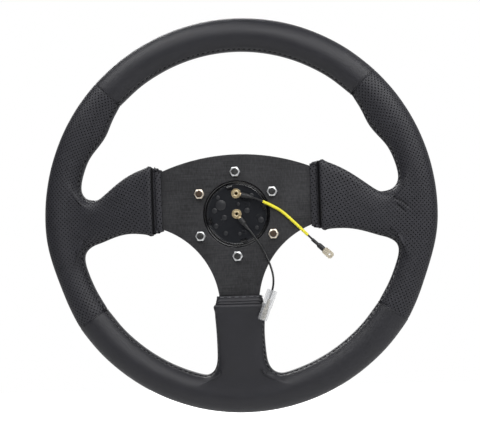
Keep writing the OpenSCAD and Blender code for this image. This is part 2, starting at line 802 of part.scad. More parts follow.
// The horn button: housing, base, cap with its snap hooks, contact disc and return spring
base_front = base_y + base_t;
lip_y = ring_front - seat_depth;
lip_t = 2.5;
hook_angle = 13;
hook_t = 1.2;
barb = 1.1;
barb_h = 1.1;
cap_r = bore_r - run;
cap_skirt = 4;
cap_edge = lip_y + lip_t + 0.8;
cap_seat = cap_edge - cap_skirt;
cap_floor = cap_edge - 1;        // where the cap is hollowed to
skirt_in = hook_in - slip;
stem_r = 5;
rivet_r = 1.9;
rivet_bore_r = 1.45;
rivet_roll_r = 2.8;
rivet_roll_t = 0.5;
rivet_head = 0.8;
disc_t = 0.8;
disc_r = hook_in - spring_wire - 2 * run - 1;
disc_y = base_front + rivet_head + press_travel + 0.2;
spring_r = hook_in - run - spring_wire / 2;
spring_turns = 2.5;

module horn_housing() {
    color("#101012") turned_on_y() polygon([
        [bore_r, base_y], [housing_r - 0.3, base_y], [housing_r, base_y + 0.3],
        [housing_r, lip_y], [lip_r, lip_y], [lip_r, lip_y + lip_t - 1],
        [lip_r - 1, lip_y + lip_t], [bore_r + 0.6, lip_y + lip_t], [bore_r, lip_y + lip_t - 0.6]
    ]);
}

module at_hooks() {
    for (k = [0 : hook_count - 1])
        rotate([0, -(hook_angle + 360 / hook_count * k), 0]) children();
}

// A block on the +X side, between two radii and two places along the axis
module block(r0, r1, y0, y1, w) {
    translate([r0, y0, -w / 2]) cube([r1 - r0, y1 - y0, w]);
}

// Round moulding marks on the base, each as [distance, angle, radius]
pad_marks = [[15, 150, 3.6], [13, 40, 2], [14.5, 205, 1.8], [20, 350, 2.6], [17, 290, 1.8]];

module horn_base() {
    rib_t = 0.5;
    color("#151517") difference() {
        union() {
            round_hole(base_y + rib_t, base_front, base_r, fine);
            turned_on_y() polygon([
                [base_r - 1, base_y], [base_r, base_y], [base_r, base_y + rib_t + 0.3],
                [base_r - 1, base_y + rib_t + 0.3]
            ]);
            for (m = pad_marks)
                translate(polar(m[1], m[0], 0)) round_hole(base_y + 0.2, base_front - 1, m[2]);
            round_hole(base_y, base_front - 1, eye_d / 2 + 0.4);
            translate([0, 0, offset_z]) round_hole(base_y, base_front - 1, eye_d / 2 + 0.4);
        }
        for (z = [0, offset_z])
            translate([0, 0, z]) round_hole(base_y - 1, base_front + 1, rivet_r + slip / 2);
        at_hooks()
            block(hook_in - run, hook_in + hook_t + run, base_y - 1, base_front + 1, hook_w + 2 * run);
    }
}

module horn_cap() {
    color("#111113") {
        turned_on_y() polygon(concat(
            [[0, disc_y + disc_t], [stem_r, disc_y + disc_t], [stem_r, cap_floor]],
            [[skirt_in, cap_floor], [skirt_in, cap_seat], [cap_r, cap_seat]],
            [for (t = [0 : 10 : 80]) [cap_r * cos(t) ^ 0.6, cap_edge + dome_h * sin(t)]],
            [[0, cap_edge + dome_h]]
        ));
        at_hooks() {
            block(hook_in, hook_in + hook_t, base_y - slip - barb_h, cap_seat + 1, hook_w);
            hook_barb();
        }
    }
}

module hook_barb() {
    translate([0, 0, -hook_w / 2]) linear_extrude(hook_w) polygon([
        [hook_in + hook_t / 2, base_y - slip], [hook_in + hook_t + barb, base_y - slip],
        [hook_in + hook_t + barb, base_y - slip - 0.3], [hook_in + hook_t, base_y - slip - barb_h],
        [hook_in + hook_t / 2, base_y - slip - barb_h]
    ]);
}

module contact_disc() {
    color("#c9a24c") round_hole(disc_y, disc_y + disc_t, disc_r, fine);
}

module horn_spring() {
    low = base_front + spring_wire / 2 + slip;
    high = cap_floor - spring_wire / 2 - slip;
    turns = [for (a = [0 : 20 : 360 * (spring_turns + 1)]) a];
    function rise(a) = min(1, max(0, (a - 180) / (360 * spring_turns)));
    color("#b9bcc0")
        tube([for (a = turns) polar(a, spring_r, between(low, high, rise(a)))], spring_wire / 2, 6);
}

// Contact rivets: hollow, rolled over the eye of the ring terminal behind the base
module rivet(z) {
    color("#c8a558") translate([0, 0, z]) turned_on_y(plain) polygon([
        [rivet_bore_r, eye_y - rivet_roll_t + 0.2], [rivet_bore_r + 0.2, eye_y - rivet_roll_t],
        [rivet_roll_r - 0.2, eye_y - rivet_roll_t], [rivet_roll_r, eye_y - rivet_roll_t + 0.2],
        [rivet_roll_r, eye_y], [rivet_r, eye_y], [rivet_r, base_front],
        [rivet_roll_r, base_front], [rivet_roll_r, base_front + rivet_head],
        [rivet_bore_r, base_front + rivet_head]
    ]);
}

module rivet_centre() { rivet(0); }

module rivet_offset() { rivet(offset_z); }

// Ring terminals: an eye, a neck and a barrel, which the black crimp sleeve covers
barrel_wall = 0.6;
neck_w = 3;

module ring_terminal(z, turn) {
    color("#cfb06a") translate([0, 0, z]) rotate([0, -turn, 0]) {
        difference() {
            union() {
                round_hole(eye_y, eye_y + tag_t, eye_d / 2);
                block(0, barrel_start + 1, eye_y, eye_y + tag_t, neck_w);
                block(barrel_start - 0.2, barrel_start + 0.8, barrel_y, eye_y + 0.4, neck_w - 1);
            }
            round_hole(eye_y - 1, eye_y + tag_t + 1, rivet_r + slip / 2);
        }
        translate([barrel_start, barrel_y, 0]) rotate([0, 90, 0]) difference() {
            cylinder(d = barrel_d, h = barrel_l, $fn = plain);
            translate([0, 0, 1]) cylinder(d = barrel_d - 2 * barrel_wall, h = barrel_l, $fn = plain);
        }
    }
}

module terminal_centre() { ring_terminal(0, centre_turn); }

module terminal_offset() { ring_terminal(offset_z, offset_turn); }

sleeve_wall = 0.45;

// A shrunk sleeve along +X: it hugs the barrel first and then the lead
module crimp_sleeve(z, turn) {
    start = barrel_start + 1.2;
    wide = barrel_d / 2 + slip;
    thin = lead_d / 2 + slip;
    end = barrel_start + sleeve_l;
    color("#1d1d1f") translate([0, 0, z]) rotate([0, -turn, 0]) translate([0, barrel_y, 0])
        rotate([0, 90, 0]) rotate_extrude($fn = plain) polygon([
            [wide, start], [wide + sleeve_wall, start], [wide + sleeve_wall, barrel_end],
            [thin + sleeve_wall, barrel_end + 2], [thin + sleeve_wall, end],
            [thin, end], [thin, barrel_end + 2], [wide, barrel_end + 0.3]
        ]);
}

module crimp_sleeve_centre() { crimp_sleeve(0, centre_turn); }

module crimp_sleeve_offset() { crimp_sleeve(offset_z, offset_turn); }

// Leads
lead_r = lead_d / 2;
offset_path = curve(offset_route);
centre_path = curve(centre_route);
yellow_from = 3 * smooth - 1;
yellow_to = 9 * smooth;

module lead_centre() { color("#161618") tube(centre_path, lead_r, lead_sides); }

module lead_offset() { color("#161618") tube(offset_path, lead_r, lead_sides); }

module yellow_sleeve() {
    path = [for (i = [yellow_from : yellow_to]) offset_path[i]];
    color("#ece12a") hollow_tube(path, yellow_d / 2, lead_r + slip, lead_sides);
}

// A frame at the end of a route, with +Z running on along the lead and +Y to the wheel's front
module at_end(path) {
    n = len(path) - 1;
    along = unit(path[n] - path[n - 1]);
    across = unit(cross([0, 1, 0], along));
    up = cross(along, across);
    multmatrix([
        [across[0], up[0], along[0], path[n][0]],
        [across[1], up[1], along[1], path[n][1]],
        [across[2], up[2], along[2], path[n][2]],
        [0, 0, 0, 1]
    ])
        children();
}

blade_barrel_l = 5;
blade_sleeve_l = 13.5;

module blade_sleeve() {
    wide = barrel_d / 2 + slip;
    thin = lead_d / 2 + slip;
    color("#1d1d1f") at_end(offset_path) rotate_extrude($fn = plain) polygon([
        [thin, blade_barrel_l - blade_sleeve_l], [thin + sleeve_wall, blade_barrel_l - blade_sleeve_l],
        [thin + sleeve_wall, -2], [wide + sleeve_wall, -0.6], [wide + sleeve_wall, blade_barrel_l],
        [wide, blade_barrel_l], [wide, -0.4], [thin, -1.8]
    ]);
}

blade_tip = 1.4;         // how far the blade's end corners are cut off
blade_shoulder = 1.6;
blade_hole_d = 1.6;
blade_hole_at = 0.62;    // place of the hole along the blade

module blade_outline() {
    neck = barrel_d / 2 - 0.4;
    half = blade_w / 2;
    polygon([
        [-neck, 0], [-half, blade_shoulder], [-half, blade_l - blade_tip],
        [blade_tip - half, blade_l], [half - blade_tip, blade_l],
        [half, blade_l - blade_tip], [half, blade_shoulder], [neck, 0]
    ]);
}

module blade_terminal() {
    barrel_in = barrel_d - 2 * barrel_wall;
    color("#cdb98a") at_end(offset_path) {
        difference() {
            cylinder(d = barrel_d, h = blade_barrel_l, $fn = plain);
            translate([0, 0, -1]) cylinder(d = barrel_in, h = blade_barrel_l - 1, $fn = plain);
        }
        difference() {
            translate([0, tag_t / 2, blade_barrel_l - barrel_wall])
                rotate([90, 0, 0]) linear_extrude(tag_t) blade_outline();
            translate([0, tag_t, blade_barrel_l + blade_l * blade_hole_at])
                rotate([90, 0, 0]) cylinder(d = blade_hole_d, h = 2 * tag_t, $fn = plain);
        }
    }
}

// Bullet connector: a brass receptacle inside a clear sleeve of two diameters
receptacle_d = 5;
receptacle_l = 12;
sleeve_bore = 6.2;
step_at = 16;
bullet_back = 4.8;       // how far the clear sleeve covers the end of the lead
receptacle_start = bullet_l - bullet_back - receptacle_l - 3;

module bullet_receptacle() {
    receptacle_bore = receptacle_d - 2 * barrel_wall;
    color("#c3b27d") at_end(centre_path) difference() {
        union() {
            cylinder(d = barrel_d, h = receptacle_start + 1, $fn = plain);
            translate([0, 0, receptacle_start])
                cylinder(d = receptacle_d, h = receptacle_l, $fn = plain);
        }
        translate([0, 0, receptacle_start + 2])
            cylinder(d = receptacle_bore, h = receptacle_l, $fn = plain);
    }
}

module bullet_sleeve() {
    wide = bullet_d / 2;
    slim = bullet_d / 2 - 0.5;
    bore = receptacle_d / 2 + slip;
    end = bullet_l - bullet_back;
    color("#dfe3e4", 0.5) at_end(centre_path) rotate_extrude($fn = plain) polygon([
        [sleeve_bore / 2, -bullet_back], [wide - 0.5, -bullet_back], [wide, -bullet_back + 0.5],
        [wide, step_at - bullet_back - 0.6], [slim, step_at - bullet_back], [slim, end - 0.5],
        [slim - 0.5, end], [bore, end], [bore, receptacle_start - 0.5],
        [sleeve_bore / 2, receptacle_start - 2]
    ]);
}

spoke_plate();
rim_hoop();
rim_foam();
leather_top();
leather_left_grip();
leather_right_grip();
leather_bottom();
horn_ring();
ring_bolts();
ring_nuts();
horn_housing();
horn_base();
horn_cap();
contact_disc();
horn_spring();
rivet_centre();
rivet_offset();
terminal_centre();
terminal_offset();
crimp_sleeve_centre();
crimp_sleeve_offset();
lead_centre();
lead_offset();
yellow_sleeve();
blade_sleeve();
blade_terminal();
bullet_receptacle();
bullet_sleeve();
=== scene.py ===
# %% [markdown]
# # A sports steering wheel, seen from its hub side
# The CAD model already holds every piece of this wheel at its true size: plate, rim, horn button
# and leads. This lesson dresses it. We start by loading it as a frame, because everything that
# we add has to sit exactly where the CAD says. Everything is in metres, so sizes that a maker
# would give in millimetres are multiplied by mm.

import json
import math

import bmesh
import bpy
import numpy as np
from mathutils import Matrix, Vector
from mathutils.bvhtree import BVHTree
from mathutils.kdtree import KDTree


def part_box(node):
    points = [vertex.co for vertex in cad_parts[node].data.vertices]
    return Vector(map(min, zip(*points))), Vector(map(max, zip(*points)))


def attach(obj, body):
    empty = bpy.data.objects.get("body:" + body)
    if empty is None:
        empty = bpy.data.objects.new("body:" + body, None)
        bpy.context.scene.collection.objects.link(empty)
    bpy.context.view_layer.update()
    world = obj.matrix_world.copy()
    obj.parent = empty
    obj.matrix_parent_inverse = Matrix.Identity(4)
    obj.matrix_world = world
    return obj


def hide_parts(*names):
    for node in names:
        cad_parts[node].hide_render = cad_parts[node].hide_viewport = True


mm = 0.001
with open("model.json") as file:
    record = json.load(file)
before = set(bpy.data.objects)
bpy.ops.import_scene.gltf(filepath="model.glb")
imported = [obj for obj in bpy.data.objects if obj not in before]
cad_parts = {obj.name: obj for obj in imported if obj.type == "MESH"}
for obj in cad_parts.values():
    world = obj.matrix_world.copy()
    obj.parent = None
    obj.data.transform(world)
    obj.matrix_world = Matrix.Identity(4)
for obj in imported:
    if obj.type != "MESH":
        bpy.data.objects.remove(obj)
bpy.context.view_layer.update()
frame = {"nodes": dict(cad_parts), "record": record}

# %% [markdown]
# ## The camera
# The photograph looks straight at the back of the wheel, turned a little to one side. We turn
# the object's own axes into the camera's axes with three small rotations and read the camera's
# placing from the rows of that matrix. The lens is long, because the wheel shows almost no
# perspective, and the shift is only the few pixels by which the hub misses the middle.

# %% Place the camera
image_width, image_height = 480, 431
hub_pixel = (236.5, 213.9)
pixels_per_mm = 1.143
camera_distance = 1200 * mm
yaw, pitch, roll = (math.radians(angle) for angle in (6.32, -1.75, 2.0))
plate_centre = Vector((0, 4, 0)) * mm

to_view = (
    Matrix.Rotation(pitch, 3, "X")
    @ Matrix.Rotation(-yaw, 3, "Z")
    @ Matrix.Rotation(-roll, 3, "Y")
)
right, forward, up = to_view

camera_data = bpy.data.cameras.new("photo_camera")
camera_data.sensor_width = 36
camera_data.lens = (
    pixels_per_mm * camera_distance / mm * camera_data.sensor_width / image_width
)
camera_data.shift_x = (image_width / 2 - hub_pixel[0]) / image_width
camera_data.shift_y = (hub_pixel[1] - image_height / 2) / image_width
camera_data.clip_start = 10 * mm
camera = bpy.data.objects.new("photo_camera", camera_data)
bpy.context.scene.collection.objects.link(camera)
camera.matrix_world = (
    Matrix.Translation(plate_centre - camera_distance * forward)
    @ Matrix((right, up, -forward)).transposed().to_4x4()
)
bpy.context.scene.camera = camera
print("lens:", round(camera_data.lens, 1), "mm, shift:", round(camera_data.shift_x, 4))

# %% [markdown]
# ## Shader maths in plain Python
# A material in Blender is a web of nodes. Wiring them by hand hides the idea behind them, so we
# wrap a socket in a small class: adding two wrapped sockets adds a Math node and returns its
# output. A Finish is one material built round a Principled shader, and one method of it adds
# every other kind of node.


# %% Define values and finishes
class Value:
    """A number, colour or vector inside a finish, which Python's operators work on."""

    def __init__(self, finish, socket):
        self.finish = finish
        self.socket = socket

    def math(self, operation, *others):
        node = self.finish.node(
            "ShaderNodeMath", {"operation": operation}, dict(enumerate([self, *others]))
        )
        return node.first

    def __add__(self, other):
        return self.math("ADD", other)

    __radd__ = __add__

    def __mul__(self, other):
        return self.math("MULTIPLY", other)

    __rmul__ = __mul__

    def __sub__(self, other):
        return self.math("SUBTRACT", other)

    def __rsub__(self, other):
        return (self * -1) + other

    def __truediv__(self, other):
        return self.math("DIVIDE", other)

    def step(self, low, high):
        """0 below low, 1 above high, and smooth between them."""
        node = self.finish.node(
            "ShaderNodeMapRange",
            {"interpolation_type": "SMOOTHSTEP"},
            {"Value": self, "From Min": low, "From Max": high},
        )
        return node.first


class Node:
    """A node that was added, with short names for its outputs."""

    def __init__(self, finish, node):
        self.finish = finish
        self.node = node

    @property
    def first(self):
        return Value(self.finish, next(o for o in self.node.outputs if o.enabled))

    def __getitem__(self, name):
        return Value(self.finish, self.node.outputs[name])


class Finish:
    """A material built round one Principled shader."""

    def __init__(self, name, color, roughness, metallic=0.0, **more):
        self.material = bpy.data.materials.new(name)
        self.material.use_nodes = True
        self.tree = self.material.node_tree
        self.shader = next(n for n in self.tree.nodes if n.type == "BSDF_PRINCIPLED")
        self.set("Base Color", color)
        self.set("Roughness", roughness)
        self.set("Metallic", metallic)
        for name, value in more.items():
            self.set(name.replace("_", " "), value)

    def feed(self, socket, value):
        if isinstance(value, Value):
            self.tree.links.new(value.socket, socket)
        elif socket.type == "RGBA" and not hasattr(value, "__len__"):
            socket.default_value = (value, value, value, 1)
        elif socket.type == "RGBA":
            socket.default_value = (*value[:3], 1)
        else:
            socket.default_value = value

    def set(self, name, value):
        self.feed(self.shader.inputs[name], value)

    def node(self, kind, settings=None, inputs=None):
        node = self.tree.nodes.new(kind)
        for name, value in (settings or {}).items():
            setattr(node, name, value)
        for name, value in (inputs or {}).items():
            self.feed(node.inputs[name], value)
        return Node(self, node)

    def place(self):
        return self.node("ShaderNodeTexCoord")["Object"]

    def stretched(self, x, y, z):
        """Object coordinates, finer along an axis the larger its number."""
        return self.node(
            "ShaderNodeMapping", {}, {"Vector": self.place(), "Scale": (x, y, z)}
        ).first

    def noise(self, size, detail, vector=None):
        """Soft blotches of about this size in metres."""
        inputs = {"Scale": 1 / size, "Detail": detail, "Vector": vector or self.place()}
        return self.node("ShaderNodeTexNoise", {}, inputs)["Fac"]

    def mix(self, factor, a, b):
        """Colour a where factor is 0 and colour b where it is 1."""
        node = self.node("ShaderNodeMix", {"data_type": "RGBA"})
        for index, value in ((0, factor), (6, a), (7, b)):
            self.feed(node.node.inputs[index], value)
        return Value(self, node.node.outputs[2])

    def lay_painted_shade(self, where, color):
        """Lays a colour without any shine over the surface where the factor is 1: painted shade,
        which makes a hole or a valley look deep."""
        dull = self.node(
            "ShaderNodeBsdfPrincipled", {},
            {"Base Color": color, "Roughness": 1.0, "Specular IOR Level": 0.0},
        )
        shiny = Value(self, self.shader.outputs[0])
        both = self.node("ShaderNodeMixShader", {}, {0: where, 1: shiny, 2: dull.first})
        output = next(n for n in self.tree.nodes if n.type == "OUTPUT_MATERIAL")
        self.feed(output.inputs["Surface"], both.first)

    def bump(self, height, depth, strength):
        """Raises the surface by depth in metres where height goes from 0 to 1."""
        node = self.node(
            "ShaderNodeBump", {}, {"Height": height, "Distance": depth, "Strength": strength}
        )
        self.set("Normal", node["Normal"])


# %% [markdown]
# ## The two horn leads
# Each lead is a soft, thin wire that leaves its crimped ring terminal behind the horn
# button and ends in a connector. Both are held out stiffly by their own copper, so a curve
# through listed points gives their shape. The points are those of the CAD model. Between
# them the line is a Catmull-Rom curve, as in the CAD, but drawn with finer steps, and Blender's
# own curve bevel makes the round wire.

# %% Lay the leads
lead_diameter = 1.8 * mm
barrel_middle_y = 2.9
barrel_reach = 10.3
offset_eye_z, offset_turn = 18, math.radians(-16)
centre_eye_z, centre_turn = 0, math.radians(-54)


def from_eye(eye_z, turn, distance):
    """A point that lies in line with a ring terminal, in millimetres."""
    return (distance * math.cos(turn), barrel_middle_y, eye_z + distance * math.sin(turn))


offset_route = [
    from_eye(offset_eye_z, offset_turn, barrel_reach),
    from_eye(offset_eye_z, offset_turn, barrel_reach + 5),
    (20, 2.1, 11.6), (26, 1.9, 8.8), (32, 1.9, 5.6), (38, 1.9, 2), (44, 1.9, -3),
    (50, 1.9, -8.8), (56, 1.9, -14.8), (62, 1.8, -20.9), (68, 1.6, -26.9), (71.6, 1.5, -30.3),
]
centre_route = [
    from_eye(centre_eye_z, centre_turn, barrel_reach),
    from_eye(centre_eye_z, centre_turn, barrel_reach + 5),
    (12, 2.3, -16), (16.5, 2.2, -22.6), (20, 2, -28), (23.5, 1.5, -34.4),
    (26.4, 0.5, -40.8), (28.9, -1, -47.4), (30.6, -2.7, -54), (31, -4.2, -60),
    (30.2, -5.2, -66), (28.2, -5.4, -71.7),
]


def smooth_line(points, steps=8):
    """A line of points through all the given ones, with no corners."""
    p = [Vector(point) for point in points]
    p = [2 * p[0] - p[1], *p, 2 * p[-1] - p[-2]]
    line = []
    for a, b, c, d in zip(p, p[1:], p[2:], p[3:]):
        for k in range(steps):
            t = k / steps
            line.append(
                (2 * b + (c - a) * t + (2 * a - 5 * b + 4 * c - d) * t**2
                 + (3 * b - a - 3 * c + d) * t**3) / 2
            )
    return [*line, p[-2]]


def line_length(line):
    return sum((b - a).length for a, b in zip(line, line[1:]))


def wire(name, line, diameter):
    """A round wire along a line of points in metres, as one open curve."""
    curve = bpy.data.curves.new(name, "CURVE")
    curve.dimensions = "3D"
    spline = curve.splines.new("POLY")
    spline.points.add(len(line) - 1)
    for point, place in zip(spline.points, line):
        point.co = (*place, 1)
        point.radius = diameter / 2
    curve.bevel_depth = 1
    curve.bevel_resolution = 4
    curve.use_fill_caps = True
    piece = bpy.data.objects.new(name, curve)
    bpy.context.scene.collection.objects.link(piece)
    return piece


def in_metres(points):
    return [Vector(point) * mm for point in points]


offset_line = in_metres(smooth_line(offset_route))
centre_line = in_metres(smooth_line(centre_route))
offset_lead = wire("offset_lead", offset_line, lead_diameter)
centre_lead = wire("centre_lead", centre_line, lead_diameter)

yellow_diameter = 2.6 * mm
sleeve_margin = 0.6 * mm
sleeve_low, sleeve_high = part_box("yellow_sleeve")
sleeve_line = [
    p for p in offset_line
    if sleeve_low[0] + sleeve_margin < p.x < sleeve_high[0] - sleeve_margin
]
yellow_tube = wire("yellow_tube", sleeve_line, yellow_diameter)

for piece, line, node, slot in (
    (offset_lead, offset_line, "lead_offset", "lead_insulation"),
    (centre_lead, centre_line, "lead_centre", "lead_insulation"),
    (yellow_tube, sleeve_line, "yellow_sleeve", "yellow_sleeve"),
):
    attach(piece, "wheel")
    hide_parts(node)
    print(piece.name, "is", round(line_length(line) / mm, 1), "mm long")

line_length(offset_line)
line_length(centre_line)

# %% [markdown]
# ## The leather as a clean skin
# On the real wheel, four pieces of leather are glued over moulded foam and sewn together along
# the inside of the rim. The CAD solids have their shape, but flat facets. To get a soft surface
# we copy a solid, keep only its outside, and turn its triangles back into four-sided faces,
# because Blender's subdivision surface runs smoothly over a grid of those.

# %% Read the rim's measures from the hoop inside it
hoop_low, hoop_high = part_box("rim_hoop")
rim_middle_y = (hoop_low[1] + hoop_high[1]) / 2
hoop_thickness = hoop_high[1] - hoop_low[1]
rim_middle_r = hoop_high[0] - hoop_thickness / 2
grip_edge_r = rim_middle_r - 22 * mm
print("rim's middle: radius", round(rim_middle_r / mm, 1), "y", round(rim_middle_y / mm, 1))


# %% Small helpers for new pieces
def new_mesh(name, shape):
    """Turns a finished bmesh into a smooth mesh, and frees it."""
    mesh = bpy.data.meshes.new(name)
    shape.to_mesh(mesh)
    shape.free()
    for face in mesh.polygons:
        face.use_smooth = True
    return mesh


def new_piece(name, mesh, replaced=()):
    """Puts a mesh into the scene as a piece of the wheel, in place of some CAD nodes."""
    piece = bpy.data.objects.new(name, mesh)
    bpy.context.scene.collection.objects.link(piece)
    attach(piece, "wheel")
    if replaced:
        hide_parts(*replaced)
    return piece


# %% Keep the outside of a leather solid
def polar_angle(point):
    return math.atan2(point.z, point.x) % (2 * math.pi)


def radius(point):
    return math.hypot(point.x, point.z)


def along_spoke(point, spoke):
    """How far a point is from the wheel's middle, measured along a spoke."""
    return point.dot(spoke) if spoke else radius(point)


def outer_skin(node, spoke):
    """The outside of a panel's solid as an open sheet of four-sided faces."""
    skin = bmesh.new()
    skin.from_mesh(frame["nodes"][node].data)
    bmesh.ops.remove_doubles(skin, verts=skin.verts, dist=0.002 * mm)
    hem = min(along_spoke(v.co, spoke) for v in skin.verts)
    near = 0.02 * mm
    cut_faces = []
    for face in skin.faces:
        points = [v.co for v in face.verts]
        on_hem = spoke and all(along_spoke(p, spoke) < hem + near for p in points)
        middle = sum(polar_angle(p) for p in points) / 3
        on_seam = (
            min(radius(p) for p in points) > grip_edge_r
            and all(abs(polar_angle(p) - middle) * rim_middle_r < near for p in points)
        )
        if on_hem or on_seam:
            cut_faces.append(face)
    bmesh.ops.delete(skin, geom=cut_faces, context="FACES")
    unseen = set(skin.faces)
    islands = []
    while unseen:
        stack = [unseen.pop()]
        island = []
        while stack:
            face = stack.pop()
            island.append(face)
            for edge in face.edges:
                for other in edge.link_faces:
                    if other in unseen:
                        unseen.remove(other)
                        stack.append(other)
        islands.append(island)
    islands.sort(key=lambda faces: max(radius(v.co) for f in faces for v in f.verts))
    bmesh.ops.delete(skin, geom=[f for i in islands[:-1] for f in i], context="FACES")
    bmesh.ops.join_triangles(
        skin, faces=skin.faces, angle_face_threshold=math.pi, angle_shape_threshold=math.pi,
        topology_influence=2.0,
    )
    left_over = sum(len(face.verts) == 3 for face in skin.faces)
    print(node, "has", len(skin.faces), "faces, of which triangles:", left_over)
    return skin


# %% [markdown]
# ## Where the leather is sewn
# The needle runs along the inside of the rim, a little towards the hub side, and where it comes
# to a spoke it turns with the leather and follows the spoke's edge to the hem. On our grid of
# faces an edge loop does the same: we start at the panel's end and always leave a point by the
# edge opposite to the one that we came by. The needle's line lies between two such loops, close
# to the first, so we find both. We mark the first as a seam, since the flat leather was cut
# along it, and unwrap the panel into the flat shape that the saddler cut.

# %% Walk along a seam
cut_turn, inmost_turn, turn_within = (math.radians(angle) for angle in (205.7, 180, 3))
seam_share = 0.12  # of the way from the first loop to the second


def section_turn(point):
    """The place round the grip's section: 0 outermost, and the hub side between 180 and 360."""
    return math.atan2(point.y - rim_middle_y, radius(point) - rim_middle_r) % (2 * math.pi)


def opposite_edge(vert, edge):
    """The edge by which a line leaves a point if it runs straight on."""
    if len(vert.link_edges) == 4 and not vert.is_boundary:
        return next(e for e in vert.link_edges if not set(e.link_faces) & set(edge.link_faces))
    onward = (vert.co - edge.other_vert(vert).co).normalized()
    others = [e for e in vert.link_edges if e != edge and not e.is_boundary]
    return max(others, key=lambda e: (e.other_vert(vert).co - vert.co).normalized().dot(onward))


def seam_walks(skin, has_spoke, turn, is_cut):
    """Edge loops of a panel that start at this place of the section at an end of the rim."""
    rim_ends = [
        v for v in skin.verts
        if v.is_boundary and radius(v.co) > grip_edge_r
        and abs(section_turn(v.co) - turn) < turn_within
    ]
    rim_ends.sort(key=lambda v: polar_angle(v.co))
    walks = []
    for vert in rim_ends if has_spoke else rim_ends[:1]:
        edge = next(e for e in vert.link_edges if not e.is_boundary)
        walk = [vert]
        while True:
            edge.seam = edge.seam or is_cut
            vert = edge.other_vert(vert)
            walk.append(vert)
            if vert.is_boundary:
                break
            edge = opposite_edge(vert, edge)
        walks.append([v.index for v in walk])
    return walks


# %% Unwrap a panel like cut leather
outer_strip_r = rim_middle_r + 14 * mm
level_within = 1 * mm


def unwrap(panel):
    """Gives a panel a flat map in metres, with its first axis along the rim."""
    bpy.context.view_layer.objects.active = panel
    panel.select_set(True)
    bpy.ops.object.mode_set(mode="EDIT")
    bpy.ops.mesh.select_all(action="SELECT")
    bpy.ops.uv.unwrap(method="MINIMUM_STRETCH", iterations=12, margin=0)
    bpy.ops.object.mode_set(mode="OBJECT")
    panel.select_set(False)
    mesh = panel.data
    layer = mesh.uv_layers.active
    flat = np.empty(len(layer.uv) * 2)
    layer.uv.foreach_get("vector", flat)
    flat = flat.reshape(-1, 2)
    corner = np.array([loop.vertex_index for loop in mesh.loops])
    true_length = flat_length = 0
    along = []
    for face in mesh.polygons:
        for a in face.loop_indices:
            b = a + 1 if a + 1 < face.loop_start + face.loop_total else face.loop_start
            start, end = mesh.vertices[corner[a]].co, mesh.vertices[corner[b]].co
            step = flat[b] - flat[a]
            true_length += (end - start).length
            flat_length += math.hypot(*step)
            outermost = min(radius(start), radius(end)) > outer_strip_r
            if outermost and abs(start.y - end.y) < level_within:
                way = start.z * end.x - start.x * end.z
                along.append(step * math.copysign(1, way))
    turn = math.atan2(*sum(along)[::-1])
    scale = true_length / flat_length
    spin = np.array([[math.cos(turn), -math.sin(turn)], [math.sin(turn), math.cos(turn)]])
    layer.uv.foreach_set("vector", (scale * flat @ spin).ravel())
    print(panel.name, "is cut about", np.ptp(scale * flat @ spin, axis=0).round(3), "m in size")


# %% [markdown]
# ## From cage to smooth leather
# A subdivision surface runs a little inside its cage, which would make the grip too thin. So we
# compare the smooth surface with the points that it should pass through and push the cage out by
# the difference, a few times over. Then the smooth surface becomes a real mesh, because the
# seam's valley and the creases are pressed into it point by point. Last, Solidify gives the
# leather its thickness.

# %% Fit a smooth surface through the cage's points
leather_thickness = 1.2 * mm
smooth_levels = 3


def points_of(mesh, count=None):
    flat = np.empty(len(mesh.vertices) * 3)
    mesh.vertices.foreach_get("co", flat)
    return flat.reshape(-1, 3)[:count]


def evaluated_mesh(piece):
    bpy.context.view_layer.update()
    graph = bpy.context.evaluated_depsgraph_get()
    return bpy.data.meshes.new_from_object(piece.evaluated_get(graph), depsgraph=graph)


def smooth_through_points(panel, rounds=5):
    """Subdivides a panel so that its surface passes through the points that it has now."""
    wanted = points_of(panel.data).copy()
    cage = wanted.copy()
    modifier = panel.modifiers.new("smooth", "SUBSURF")
    modifier.levels = modifier.render_levels = 1
    for _ in range(rounds):
        reached = evaluated_mesh(panel)
        miss = wanted - points_of(reached, len(wanted))
        bpy.data.meshes.remove(reached)
        cage += miss
        panel.data.vertices.foreach_set("co", cage.ravel())
        panel.data.update()
    modifier.levels = modifier.render_levels = smooth_levels
    rough = panel.data
    panel.data = evaluated_mesh(panel)
    panel.modifiers.clear()
    bpy.data.meshes.remove(rough)
    print(panel.name, "misses its points by", round(np.abs(miss).max() / mm, 3), "mm")


# %% Press valleys and creases into the leather
def surface_of(panel):
    """The panel's surface as a tree that finds the nearest point on it."""
    return BVHTree.FromObject(panel, bpy.context.evaluated_depsgraph_get())


def dense(points, spacing=0.4 * mm):
    """A line of points, with more points put in between."""
    line = []
    for a, b in zip(points, points[1:]):
        count = max(1, round((b - a).length / spacing))
        line += [a.lerp(b, k / count) for k in range(count)]
    return [*line, points[-1]]


full_shade_depth = 1 * mm


